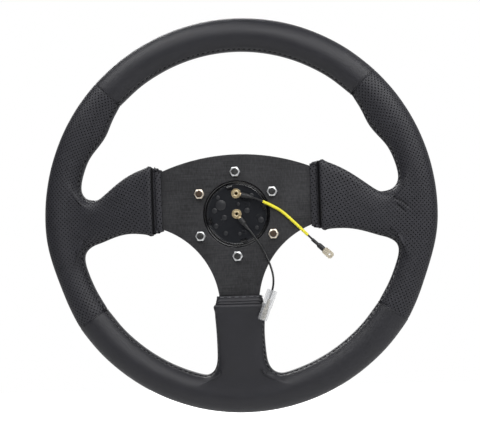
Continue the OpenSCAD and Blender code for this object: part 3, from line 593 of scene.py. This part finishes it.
def press(panel, line, depth, width, fade=0.0):
    """Presses a valley of this depth and half width into a panel along a line of points, and
    notes in the panel's own "valley" values how deep it is there. A ridge has a negative depth.
    With fade, in metres, the valley runs out softly at both its ends."""
    points = dense(line)
    tree = KDTree(len(points))
    for i, point in enumerate(points):
        tree.insert(point, i)
    tree.balance()
    step = line_length(points) / (len(points) - 1)
    normals = np.empty(len(panel.data.vertices) * 3)
    panel.data.vertices.foreach_get("normal", normals)
    normals = normals.reshape(-1, 3)
    places = points_of(panel.data)
    shade = min(1, depth / full_shade_depth)
    notes = panel.data.attributes.get("valley")
    if notes is None:
        notes = panel.data.attributes.new("valley", "FLOAT", "POINT")
    for k, place in enumerate(places):
        _, i, away = tree.find(Vector(place))
        if away < 3 * width:
            ends = min(i, len(points) - 1 - i) * step
            strength = min(1, ends / fade) if fade else 1
            share = strength * math.exp(-((away / width) ** 2))
            places[k] = place - normals[k] * depth * share
            # the valley values are turned into painted shade by the leather's finish
            if depth > 0:
                notes.data[k].value = max(notes.data[k].value, share * shade)
    panel.data.vertices.foreach_set("co", places.ravel())
    panel.data.update()


# %% [markdown]
# ## Four panels
# The two side grips are perforated leather and each takes in one side spoke. The top panel is a
# plain tube and the bottom panel takes in the bottom spoke. All four are made by the same steps,
# in the order in which a saddler would work: cut, stretch over the foam, sew, glue.

# %% Relax the leather where a spoke meets the rim
junction_reach = (108 * mm, 152 * mm)
junction_half_turn = math.radians(26)
hub_side = -0.35  # the normal's y at which the leather counts as facing the hub
relax_rounds = 45


def relax_junction(panel, spoke):
    """Smooths the hub side of a panel round the place where its spoke grows out of the rim."""
    shape = bmesh.new()
    shape.from_mesh(panel.data)
    shape.normal_update()
    near = [
        v for v in shape.verts
        if junction_reach[0] < radius(v.co) < junction_reach[1]
        and v.normal.y < hub_side and not v.is_boundary
        and Vector((v.co.x, 0, v.co.z)).angle(spoke) < junction_half_turn
    ]
    for _ in range(relax_rounds):
        bmesh.ops.smooth_vert(
            shape, verts=near, factor=0.5, use_axis_x=True, use_axis_y=True, use_axis_z=True,
        )
    shape.to_mesh(panel.data)
    shape.free()
    print(panel.name, "is relaxed at", len(near), "points")


# %% Make the four panels
right_way, left_way, down = Vector((1, 0, 0)), Vector((-1, 0, 0)), Vector((0, 0, -1))
panel_plans = {
    "leather_top": None,
    "leather_left_grip": left_way,
    "leather_right_grip": right_way,
    "leather_bottom": down,
}
seam_valley_depth = 1.0 * mm
seam_valley_width = 1.1 * mm
panels, seam_lines = {}, {}
for node, spoke in panel_plans.items():
    skin = outer_skin(node, spoke)
    skin.verts.index_update()
    cuts = seam_walks(skin, spoke is not None, cut_turn, is_cut=True)
    inmost = seam_walks(skin, spoke is not None, inmost_turn, is_cut=False)
    print(node, "has seams of", [(len(a), len(b)) for a, b in zip(cuts, inmost)], "points")
    mesh = bpy.data.meshes.new(node + "_skin")
    skin.to_mesh(mesh)
    skin.free()
    panel = bpy.data.objects.new(node + "_skin", mesh)
    bpy.context.scene.collection.objects.link(panel)
    unwrap(panel)
    smooth_through_points(panel)
    if spoke:
        relax_junction(panel, spoke)
    surface = surface_of(panel)
    verts = panel.data.vertices
    seam_lines[node] = []
    for pair in zip(cuts, inmost):
        between = [verts[i].co.lerp(verts[j].co, seam_share) for i, j in zip(*pair)]
        line = [surface.find_nearest(place)[0] for place in smooth_line(between)]
        seam_lines[node].append(line)
    for line in seam_lines[node]:
        press(panel, line, seam_valley_depth, seam_valley_width)
    panels[node] = panel

# %% [markdown]
# ## Creases above the right spoke
# Where the right spoke leaves the rim, the stretched leather has thrown a few creases. Each one
# is given as its depth and a few places, in millimetres and as seen from the hub side. A ray
# finds the leather at those places, and the crease is pressed in along them. A negative depth
# makes the soft ridge between two creases.

# %% Crease the leather above the right spoke
crease_width, crease_fade = 1.2 * mm, 4.5 * mm
before_the_hub = -100
creases = [
    (1.05, [(135.5, 9.2), (141.2, 7.4), (145.4, 4.7), (151.5, -0.8)]),
    (-0.8, [(135.5, 7.4), (140.6, 5.2), (144.8, 2.2), (150.5, -3.2)]),
    (0.95, [(136.5, 6), (140.2, 3), (144.2, -0.4), (148.5, -4.6)]),
]
right_panel = panels["leather_right_grip"]
surface = surface_of(right_panel)
towards_driver = Vector((0, 1, 0))
for depth, places in creases:
    line = [
        surface.ray_cast(Vector((x, before_the_hub, z)) * mm, towards_driver)[0]
        for x, z in places
    ]
    press(right_panel, smooth_line(line), depth * mm, crease_width, crease_fade)
    print("a crease of", round(line_length(line) / mm, 1), "mm")

# %% Give the leather its thickness
for node, panel in panels.items():
    for face in panel.data.polygons:
        face.use_smooth = True
    wall = panel.modifiers.new("thickness", "SOLIDIFY")
    wall.thickness = leather_thickness
    wall.offset = -1
    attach(panel, "wheel")
    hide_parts(node)
    grip = "grip" in node

# %% [markdown]
# ## Stitches
# The panels are closed with a whip stitch: a thick waxed thread that slants over the seam again
# and again. One stitch is a small squashed ball, drawn out along its length. We make a ball once,
# with create_uvsphere, and lay copies of it on the leather along the seam's line, each turned so
# that it slants. Hundreds of them stay light, because each has only a few dozen faces.

# %% Sew the seams
stitch_pitch = 4.6 * mm
stitch_length = 4.2 * mm
stitch_width = 0.9 * mm
stitch_flatness = 1.3
stitch_slant = math.radians(58)
stitch_lift = 0.35 * mm


def evenly(line, pitch):
    """Places at an even pitch along a line, each with the line's direction there."""
    places, left = [], pitch / 2
    for a, b in zip(line, line[1:]):
        length = (b - a).length
        while left <= length:
            places.append((a.lerp(b, left / length), (b - a).normalized()))
            left += pitch
        left -= length
    return places


ball = bmesh.new()
bmesh.ops.create_uvsphere(ball, u_segments=8, v_segments=6, radius=1)
one_stitch = new_mesh("one_stitch", ball)


def lay_stitch(thread, place, along, outward, length, width, slant):
    """Adds one stitch to the thread's mesh."""
    across = outward.cross(along).normalized()
    way = math.cos(slant) * across + math.sin(slant) * along
    side = outward.cross(way).normalized()
    turn = Matrix((way, side, outward)).transposed().to_4x4()
    size = Matrix.Diagonal((length / 2, width / 2, width / 2 / stitch_flatness, 1))
    stitch = one_stitch.copy()
    stitch.transform(Matrix.Translation(place) @ turn @ size)
    thread.from_mesh(stitch)
    bpy.data.meshes.remove(stitch)


thread = bmesh.new()
for node, panel in panels.items():
    surface = surface_of(panel)
    for line in seam_lines[node]:
        for place, along in evenly(line, stitch_pitch):
            point, normal, _, _ = surface.find_nearest(place)
            lay_stitch(
                thread, point + normal * stitch_lift, along, normal,
                stitch_length, stitch_width, stitch_slant,
            )
stitch_mesh = new_mesh("seam_stitches", thread)
print("stitches:", len(stitch_mesh.vertices) // len(one_stitch.vertices))
stitches = new_piece("seam_stitches", stitch_mesh)

# %% [markdown]
# ## Hems
# At the hub end of each spoke the leather dips into a fold and then swells up into the pad. On
# the bottom spoke there is also a narrow roll before the fold, and a row of long stitches holds
# the hem and shows as pale dashes. To find the line of a fold we cut a copy of the panel with a
# plane across the spoke and walk round the cut.

# %% Find a line round a spoke
spoke_end_r = rim_middle_r / 2 + 30 * mm


def cut_line(panel, spoke, reach):
    """The closed line where a plane across a spoke cuts the panel's surface."""
    slice_ = bmesh.new()
    slice_.from_mesh(panel.data)
    cut = bmesh.ops.bisect_plane(
        slice_, geom=[*slice_.verts, *slice_.edges, *slice_.faces], dist=0,
        plane_co=spoke * reach, plane_no=spoke,
    )["geom_cut"]
    points = [e.co.copy() for e in cut if isinstance(e, bmesh.types.BMVert)]
    slice_.free()
    points = [p for p in points if radius(p) < spoke_end_r]
    middle = sum(points, Vector()) / len(points)
    side = spoke.cross(Vector((0, 1, 0)))
    points.sort(key=lambda p: math.atan2((p - middle).y, (p - middle).dot(side)))
    return [*points, points[0]]


# %% [markdown]
# Each fold is written as three lengths in millimetres: how far it is from the hem, how deep it
# is, with a minus where the leather rises, and half its width.

# %% Press the folds at the hems
side_folds = [(10.6, -1.2, 2.6), (7.0, 1.15, 2.4)]
folds_at = {
    "leather_left_grip": side_folds,
    "leather_right_grip": side_folds,
    "leather_bottom": [(9.7, -1.1, 2.4), (6.4, 1.1, 0.85), (4.5, -0.5, 0.9)],
}
hems = {}
for node, folds in folds_at.items():
    panel, spoke = panels[node], panel_plans[node]
    hems[node] = min(along_spoke(v.co, spoke) for v in panel.data.vertices)
    for from_hem, depth, width in folds:
        line = cut_line(panel, spoke, hems[node] + from_hem * mm)
        press(panel, line, depth * mm, width * mm)
    print(node, "begins", round(hems[node] / mm, 1), "mm from the wheel's middle")

# %% Stitch the hem of the bottom spoke
hem_inset = 1.1 * mm
hem_pitch = 6.4 * mm
hem_stitch_length, hem_stitch_width = 4.2 * mm, 0.7 * mm
hem_slant = math.radians(86)
hem_lift = 0.12 * mm
hem_thread = bmesh.new()
bottom = panels["leather_bottom"]
hem_reach = hems["leather_bottom"] + hem_inset
surface = surface_of(bottom)
for place, along in evenly(cut_line(bottom, down, hem_reach), hem_pitch):
    point, normal, _, _ = surface.find_nearest(place)
    lay_stitch(
        hem_thread, point + normal * hem_lift, along, normal,
        hem_stitch_length, hem_stitch_width, hem_slant,
    )
hem_stitches = new_piece("hem_stitches", new_mesh("hem_stitches", hem_thread))

# %% [markdown]
# ## Soft edges on hard pieces
# No machined or moulded edge is perfectly sharp, and it is the small round on an edge that
# catches the light. So each hard piece listed below gets a double: its triangles are merged
# back into whole faces, and the sharp edges get a narrow bevel. The bevel's own faces are shaded
# as one round, but its border with the flat faces beside it stays sharp, so that those look
# flat. The double stands for the CAD node, which stays hidden underneath for the physics.

# %% Round the edges
sharp, flat = math.radians(35), math.radians(0.6)
weld, collapsed = 0.001 * mm, 0.002 * mm
edge_rounds = {
    "spoke_plate": 0.35,
    "ring_nuts": 0.22,
    "ring_bolts": 0.15,
    "horn_ring": 0.75,
    "horn_housing": 0.6,
    "horn_base": 0.12,
    "blade_terminal": 0.15,
    "terminal_centre": 0.12,
    "terminal_offset": 0.12,
    "rivet_centre": 0.15,
    "rivet_offset": 0.15,
    "bullet_sleeve": 0.25,
}


def with_soft_edges(node, width):
    """A double of a CAD node with its sharp edges bevelled to this width."""
    shape = bmesh.new()
    shape.from_mesh(frame["nodes"][node].data)
    bmesh.ops.remove_doubles(shape, verts=shape.verts, dist=weld)
    bmesh.ops.dissolve_limit(
        shape, angle_limit=flat, use_dissolve_boundaries=False,
        verts=shape.verts, edges=shape.edges,
    )
    edges = [e for e in shape.edges if e.is_manifold and e.calc_face_angle(0) > sharp]
    rounds = bmesh.ops.bevel(
        shape, geom=edges, offset=width, offset_type="OFFSET", segments=2, profile=0.5,
        affect="EDGES", material=-1, clamp_overlap=True,
    )["faces"]
    for edge in shape.edges:
        edge.smooth = len(set(rounds).intersection(edge.link_faces)) != 1
    bmesh.ops.dissolve_degenerate(shape, dist=collapsed, edges=shape.edges)
    name = node + "_rounded"
    return new_piece(name, new_mesh(name, shape), [node])


rounded = {}
for node, width in edge_rounds.items():
    rounded[node] = with_soft_edges(node, width * mm)
    print(node, "has", len(rounded[node].data.polygons), "faces after rounding")

# %% [markdown]
# ## Marks of the mould
# Pins push a moulded plate out of its mould and leave shallow round marks, and the base of the
# horn button shows about a dozen of them. Each mark is a very flat disc with a bevelled rim. It
# is written as its place on the base and its radius, in millimetres.

# %% Raise the moulding marks
mark_height = 0.045 * mm
marks = {
    (-13.8, 8.2): 4.6, (-11, -2.8): 2.3, (-19.5, 3.4): 2.4, (-18.6, -10): 2.2,
    (-10.2, -16.6): 2, (2.2, -17.4): 1.6, (9.2, 2.6): 2.4, (13.5, 15.6): 2.1,
    (21.2, -6): 2.6, (1.8, 8.6): 1.4, (17.4, -12.6): 1.8, (-16.2, 15): 1.8,
}
base_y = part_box("horn_base")[0][1]
facing_the_hub = Matrix.Rotation(math.pi / 2, 4, "X")
mark_mould = bmesh.new()
for (x, z), mark_radius in marks.items():
    disc = bmesh.ops.create_cone(
        mark_mould, cap_ends=True, segments=24, radius1=mark_radius * mm,
        radius2=mark_radius * mm, depth=2 * mark_height,
        matrix=Matrix.Translation((x * mm, base_y, z * mm)) @ facing_the_hub,
    )["verts"]
    rim = {e for v in disc for e in v.link_edges if e.calc_face_angle(0) > sharp}
    bmesh.ops.bevel(
        mark_mould, geom=list(rim), offset=0.8 * mark_height, offset_type="OFFSET", segments=2,
        profile=0.5, affect="EDGES", material=-1, clamp_overlap=True,
    )
mould_marks = new_piece("mould_marks", new_mesh("mould_marks", mark_mould))
print("marks:", len(marks), "on the base's face at y", round(base_y / mm, 2), "mm")

# %% [markdown]
# ## The push-on receptacle
# Inside the clear sleeve the wire ends in a crimp barrel, and the barrel widens into a tinned
# tube that waits for its pin. That is a turned shape, so we draw half of its outline, as radius
# and distance from the end of the lead in millimetres, and spin it round the lead's direction.

# %% Spin the receptacle
lead_end = centre_line[-1]
lead_way = (centre_line[-1] - centre_line[-2]).normalized()
bare_length, bare_diameter = 4 * mm, 1.4 * mm
hard_edge = math.radians(25)
outline = [
    (0, 3.4), (0.9, 3.4), (1.3, 3.9), (1.3, 9.6), (2.1, 11.8), (2.1, 21.4), (1.9, 21.8),
    (1.6, 21.8), (1.6, 12.6), (0, 12.6),
]
across = lead_way.orthogonal().normalized()
turned = bmesh.new()
ring = [turned.verts.new(lead_end + (across * r + lead_way * reach) * mm) for r, reach in outline]
edges = [turned.edges.new(pair) for pair in zip(ring, ring[1:])]
bmesh.ops.spin(
    turned, geom=[*ring, *edges], cent=lead_end, axis=lead_way, dvec=(0, 0, 0),
    angle=2 * math.pi, steps=32, use_merge=True,
)
bmesh.ops.remove_doubles(turned, verts=turned.verts, dist=weld)
bmesh.ops.recalc_face_normals(turned, faces=turned.faces)
for edge in turned.edges:
    edge.smooth = edge.calc_face_angle(0) < hard_edge
receptacle = new_piece(
    "receptacle", new_mesh("receptacle", turned), ["bullet_receptacle"]
)
bare_end = wire("bare_end", [lead_end, lead_end + lead_way * bare_length], bare_diameter)
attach(bare_end, "wheel")

# %% [markdown]
# ## Leather finishes
# Car leather is dyed nearly black and has a satin top coat. Its grain is a net of fine creases,
# which a Voronoi pattern draws well, and a soft noise keeps the gloss from being even. Where we
# pressed a valley, its values lay painted shade on the leather, since little light gets in
# there. The grips are punched with rows of small holes, drawn as a bump with painted shade in
# each. Their pattern is worked out from the panel's own flat map in metres, so the rows follow
# the leather round the grip, as they do on the real one.


# %% Mix the leather
grain_size = 0.9 * mm
valley_shade_strength = 0.85
painted_shade_black = (0.001, 0.001, 0.001)


def leather(name, color, roughness, punched):
    finish = Finish(name, color, roughness, Specular_IOR_Level=0.42)
    blotch = finish.noise(11 * mm, 3)
    cells = finish.node(
        "ShaderNodeTexVoronoi", {"feature": "DISTANCE_TO_EDGE"},
        {"Vector": finish.place(), "Scale": 1 / grain_size},
    )["Distance"]
    grain = cells.step(0.0, 0.16)
    height = grain * 0.35 + finish.noise(0.5 * mm, 2) * 0.25 + blotch * 0.4
    shade = 0.8 + blotch * 0.4
    valley = finish.node("ShaderNodeAttribute", {"attribute_name": "valley"})["Fac"]
    # painted shade in the pressed seams, folds and creases, darkest where they are deepest
    shadow = valley.step(0.3, 1.0) * valley_shade_strength
    if punched:
        holes = punched_holes(finish)
        height = height - holes * 2.5
        # each punched hole is painted dark as well: painted shade inside the hole
        shadow = shadow.math("MAXIMUM", holes)
    finish.lay_painted_shade(shadow, painted_shade_black)
    finish.set("Roughness", roughness - 0.06 + blotch * 0.12)
    twice_as_light = tuple(2 * channel for channel in color)
    finish.set("Base Color", finish.mix(shade * 0.5, 0, twice_as_light))
    finish.bump(height, 0.12 * mm, 0.8)
    return finish


hole_spacing = 3.6 * mm
hole_radius = 0.5 * mm


def punched_holes(finish):
    """1 inside a punched hole and 0 on the leather around it."""
    flat_map = finish.node("ShaderNodeUVMap")["UV"]
    flat = finish.node("ShaderNodeSeparateXYZ", {}, {0: flat_map})
    u, v = flat["X"] / hole_spacing, flat["Y"] / hole_spacing

    def from_centre(value, shift):
        return (value + shift).math("FRACT") - 0.5

    def distance(shift):
        x = from_centre(u, shift) * hole_spacing
        y = from_centre(v, shift) * hole_spacing
        return (x * x + y * y).math("SQRT")

    nearest = distance(0.0).math("MINIMUM", distance(0.5))
    return 1 - nearest.step(hole_radius * 0.8, hole_radius * 1.25)


smooth_leather = leather("smooth_leather", (0.017, 0.017, 0.0215), 0.46, punched=False)
punched_leather = leather("punched_leather", (0.021, 0.021, 0.0265), 0.5, punched=True)
waxed_thread = Finish("waxed_thread", (0.075, 0.075, 0.08), 0.4, Coat_Weight=0.2)


def paint(piece, finish):
    """Gives a piece this finish, whatever it had before."""
    if piece.material_slots:
        for slot in piece.material_slots:
            slot.material = finish.material
    else:
        piece.data.materials.append(finish.material)


for node, panel in panels.items():
    paint(panel, punched_leather if "grip" in node else smooth_leather)
paint(stitches, waxed_thread)
paint(bare_end, Finish("grey_core", (0.09, 0.075, 0.09), 0.35))
paint(mould_marks, Finish("greyer_plastic", (0.019, 0.02, 0.023), 0.34))
paint(hem_stitches, Finish("grey_thread", (0.11, 0.11, 0.12), 0.55))

# %% [markdown]
# ## Metal, plastic and wire
# The remaining finishes are simple recipes with one or two features each: fine brushing on the
# plate, zinc on the nuts with painted shade in the mouth round each bolt, a faint orange peel on
# the moulded plastic, tarnish on the brass. Two of the bolts and nuts are a little browner than
# the rest.


# %% Mix the hard finishes
bolt_circle_r = frame["record"]["mounts"][0]["dims"]["pcd_mm"] / 2 * mm


def brushed_plate():
    finish = Finish("dark_brushed_plate", (0.07, 0.07, 0.073), 0.42, metallic=0.75)
    lines = finish.noise(1.0, 4, vector=finish.stretched(60, 60, 2600))
    cloud = finish.noise(28 * mm, 2)
    rubs = finish.noise(1.0, 3, vector=finish.stretched(900, 60, 300))
    finish.set("Roughness", 0.34 + lines * 0.12 + cloud * 0.08)
    worn = (lines * 0.5 + cloud * 0.25 + rubs * 0.4).step(0.35, 0.85)
    finish.set("Base Color", finish.mix(worn, (0.036, 0.036, 0.038), (0.084, 0.084, 0.089)))
    finish.bump(lines, 0.03 * mm, 0.5)
    return finish


def odd_pair(finish):
    """1 at the upper left and lower right bolts, which are a little browner than the rest."""
    place = finish.node("ShaderNodeSeparateXYZ", {}, {0: finish.place()})
    along_the_pair = place["X"] * 0.88 - place["Z"] * 0.47
    return along_the_pair.math("ABSOLUTE").step(26 * mm, 30 * mm)


def from_bolt(finish):
    """How far a place is from the axis of the nearest of the six bolts."""
    place = finish.node("ShaderNodeSeparateXYZ", {}, {0: finish.place()})
    x, z = place["X"], place["Z"]
    sixth = math.pi / 3
    turn = ((z.math("ARCTAN2", x) / sixth).math("FRACT") - 0.5) * sixth
    reach = (x * x + z * z).math("SQRT")
    inward = reach * turn.math("COSINE") - bolt_circle_r
    sideways = reach * turn.math("SINE")
    return (inward * inward + sideways * sideways).math("SQRT")


def bright_zinc():
    finish = Finish("bright_zinc", (0.8, 0.8, 0.8), 0.3, metallic=0.8)
    cloud = finish.noise(2.2 * mm, 3)
    zinc = finish.mix(cloud, (0.6, 0.61, 0.62), (0.88, 0.89, 0.9))
    finish.set("Roughness", 0.24 + cloud * 0.2)
    finish.set("Base Color", finish.mix(odd_pair(finish) * 0.6, zinc, (0.85, 0.7, 0.5)))
    # painted shade inside each nut's bore, round the bolt
    painted_bore_shade = 1 - from_bolt(finish).step(2.85 * mm, 3.1 * mm)
    finish.lay_painted_shade(painted_bore_shade, (0.02, 0.019, 0.018))
    return finish


def black_steel():
    finish = Finish("black_steel", (0.06, 0.055, 0.05), 0.45, metallic=0.9)
    cloud = finish.noise(3 * mm, 2)
    steel = finish.mix(cloud, (0.03, 0.03, 0.03), (0.11, 0.11, 0.11))
    finish.set("Base Color", finish.mix(odd_pair(finish), steel, (0.115, 0.08, 0.058)))
    return finish


def gloss_plastic(name, color, roughness, **more):
    finish = Finish(name, color, roughness, **more)
    peel = finish.noise(3.5 * mm, 2)
    finish.set("Roughness", roughness + peel * 0.12)
    finish.bump(peel, 0.012 * mm, 0.4)
    return finish


def brass(name, bright, tarnished, roughness):
    finish = Finish(name, bright, roughness, metallic=0.7)
    stain = finish.noise(1.8 * mm, 3)
    finish.set("Base Color", finish.mix(stain.step(0.35, 0.75), bright, tarnished))
    finish.set("Roughness", roughness + stain * 0.2)
    return finish


def soft_tube(name, color, roughness, ripple):
    finish = Finish(name, color, roughness)
    uneven = finish.noise(1.6 * mm, 2)
    finish.set("Roughness", roughness + uneven * 0.15)
    finish.bump(uneven, ripple, 0.6)
    return finish


def clear_plastic():
    finish = Finish("cloudy_clear_plastic", (0.6, 0.61, 0.63), 0.12, Alpha=0.28, IOR=1.45)
    cloud = finish.noise(5 * mm, 2)
    finish.set("Roughness", 0.08 + cloud * 0.15)
    return finish


tinned = ((0.84, 0.77, 0.62), (0.52, 0.45, 0.33))
polished = {"Specular_IOR_Level": 1.0}
finishes = {
    "spoke_plate": brushed_plate(),
    "rim_hoop": Finish("bare_aluminium", (0.6, 0.6, 0.62), 0.4, metallic=1.0),
    "rim_foam": soft_tube("moulded_foam", (0.03, 0.03, 0.03), 0.8, 0.1 * mm),
    "horn_ring": gloss_plastic("gloss_black_ring", (0.004, 0.004, 0.005), 0.12, **polished),
    "ring_bolts": black_steel(),
    "ring_nuts": bright_zinc(),
    "horn_housing": gloss_plastic("black_housing", (0.004, 0.004, 0.005), 0.08, **polished),
    "horn_base": gloss_plastic("black_base", (0.016, 0.017, 0.02), 0.14),
    "horn_cap": gloss_plastic("black_cap", (0.012, 0.012, 0.013), 0.2),
    "contact_disc": brass("contact_brass", (0.16, 0.11, 0.05), (0.08, 0.05, 0.02), 0.4),
    "horn_spring": Finish("spring_steel", (0.55, 0.56, 0.58), 0.3, metallic=1.0),
    "rivet_centre": brass("rivet_brass", (0.9, 0.78, 0.52), (0.6, 0.46, 0.26), 0.2),
    "terminal_centre": brass("terminal_brass", (0.62, 0.5, 0.3), (0.3, 0.22, 0.12), 0.28),
    "crimp_sleeve_centre": soft_tube("shrunk_sleeve", (0.014, 0.014, 0.015), 0.42, 0.12 * mm),
    "lead_centre": soft_tube("wire_insulation", (0.004, 0.004, 0.005), 0.3, 0.03 * mm),
    "yellow_sleeve": soft_tube("yellow_tube", (0.82, 0.74, 0.03), 0.38, 0.04 * mm),
    "blade_terminal": brass("blade_brass", *tinned, 0.3),
    "bullet_receptacle": brass("receptacle_brass", (0.8, 0.74, 0.6), (0.3, 0.25, 0.17), 0.22),
    "bullet_sleeve": clear_plastic(),
}
same_as = {
    "rivet_offset": "rivet_centre",
    "terminal_offset": "terminal_centre",
    "crimp_sleeve_offset": "crimp_sleeve_centre",
    "blade_sleeve": "crimp_sleeve_centre",
}
for node, twin in same_as.items():
    finishes[node] = finishes[twin]
for node, finish in finishes.items():
    paint(rounded.get(node) or frame["nodes"][node], finish)
for piece, node in (
    (offset_lead, "lead_centre"), (centre_lead, "lead_centre"), (yellow_tube, "yellow_sleeve"),
    (receptacle, "bullet_receptacle"),
):
    paint(piece, finishes[node])

# %% [markdown]
# ## Studio
# The photograph was taken against plain white, in soft light. Three large lamps hang above the
# camera's side, one lights the driver's side from above, and a weak one fills in from the right.
# Rays from the camera and rays that go straight through clear plastic see the world as plain
# white. Mirrors see that white only where the backdrop stands, straight behind the wheel, and a
# dim studio elsewhere, so the black leather keeps its depth. Everything else gets a very weak
# sky. The floor lies below the picture and takes the wheel's shadow.

# %% Light the studio
class WorldLight(Finish):
    """The world's node tree, with the same short calls as a finish."""

    def __init__(self, name):
        self.material = bpy.data.worlds.new(name)
        self.material.use_nodes = True
        self.tree = self.material.node_tree
        self.shader = self.tree.nodes["Background"]

    def ray(self, kind):
        return self.node("ShaderNodeLightPath")[f"Is {kind} Ray"]


studio = WorldLight("studio")
bpy.context.scene.world = studio.material
sky_level = 0.02
looks_towards = studio.node("ShaderNodeTexCoord")["Generated"]
backdrop = studio.node("ShaderNodeSeparateXYZ", {}, {0: looks_towards})["Y"].step(0.3, 1.0)
plain_white = studio.ray("Camera").math("MAXIMUM", studio.ray("Transmission")).math(
    "MAXIMUM", studio.ray("Glossy") * backdrop
)
studio.set("Color", studio.mix(plain_white, (sky_level,) * 3, (1, 1, 1)))

floor_z, floor_half, floor_glow = -300 * mm, 1.6, 0.97
floor_sheet = bmesh.new()
bmesh.ops.create_grid(floor_sheet, x_segments=1, y_segments=1, size=floor_half)
bmesh.ops.translate(floor_sheet, verts=floor_sheet.verts, vec=(0, 0, floor_z))
floor = bpy.data.objects.new("studio_floor", new_mesh("studio_floor", floor_sheet))
bpy.context.scene.collection.objects.link(floor)
floor_finish = Finish("studio_floor", (0.8, 0.8, 0.8), 0.9)
rays = floor_finish.node("ShaderNodeLightPath")
white_ray = rays["Is Camera Ray"].math("MAXIMUM", rays["Is Transmission Ray"])
floor_finish.set("Emission Color", floor_finish.mix(white_ray, 0, (floor_glow,) * 3))
floor_finish.set("Emission Strength", 1.0)
paint(floor, floor_finish)


lamp_size = 0.8


def soft_lamp(name, place, watts):
    """A square lamp that faces the hub."""
    light = bpy.data.lights.new(name, "AREA")
    light.shape = "SQUARE"
    light.size = lamp_size
    light.energy = watts
    lamp = bpy.data.objects.new(name, light)
    bpy.context.scene.collection.objects.link(lamp)
    lamp.location = place
    lamp.rotation_euler = (-Vector(place)).to_track_quat("-Z", "Y").to_euler()


soft_lamp("upper_left", (-0.6, -0.45, 1.0), 9.3)
soft_lamp("upper_right", (0.9, -0.45, 0.9), 10.4)
soft_lamp("above_camera", (0.2, -1.3, 0.9), 10.6)
soft_lamp("driver_side", (-0.4, 1.3, 0.9), 12)
soft_lamp("right_side", (1.3, -0.5, 0.1), 1.8)

# %% [markdown]
# ## Finish
# Last, the view transform is set to Standard, so that colours come out as written.

# %% Set the view transform
bpy.context.scene.view_settings.view_transform = "Standard"
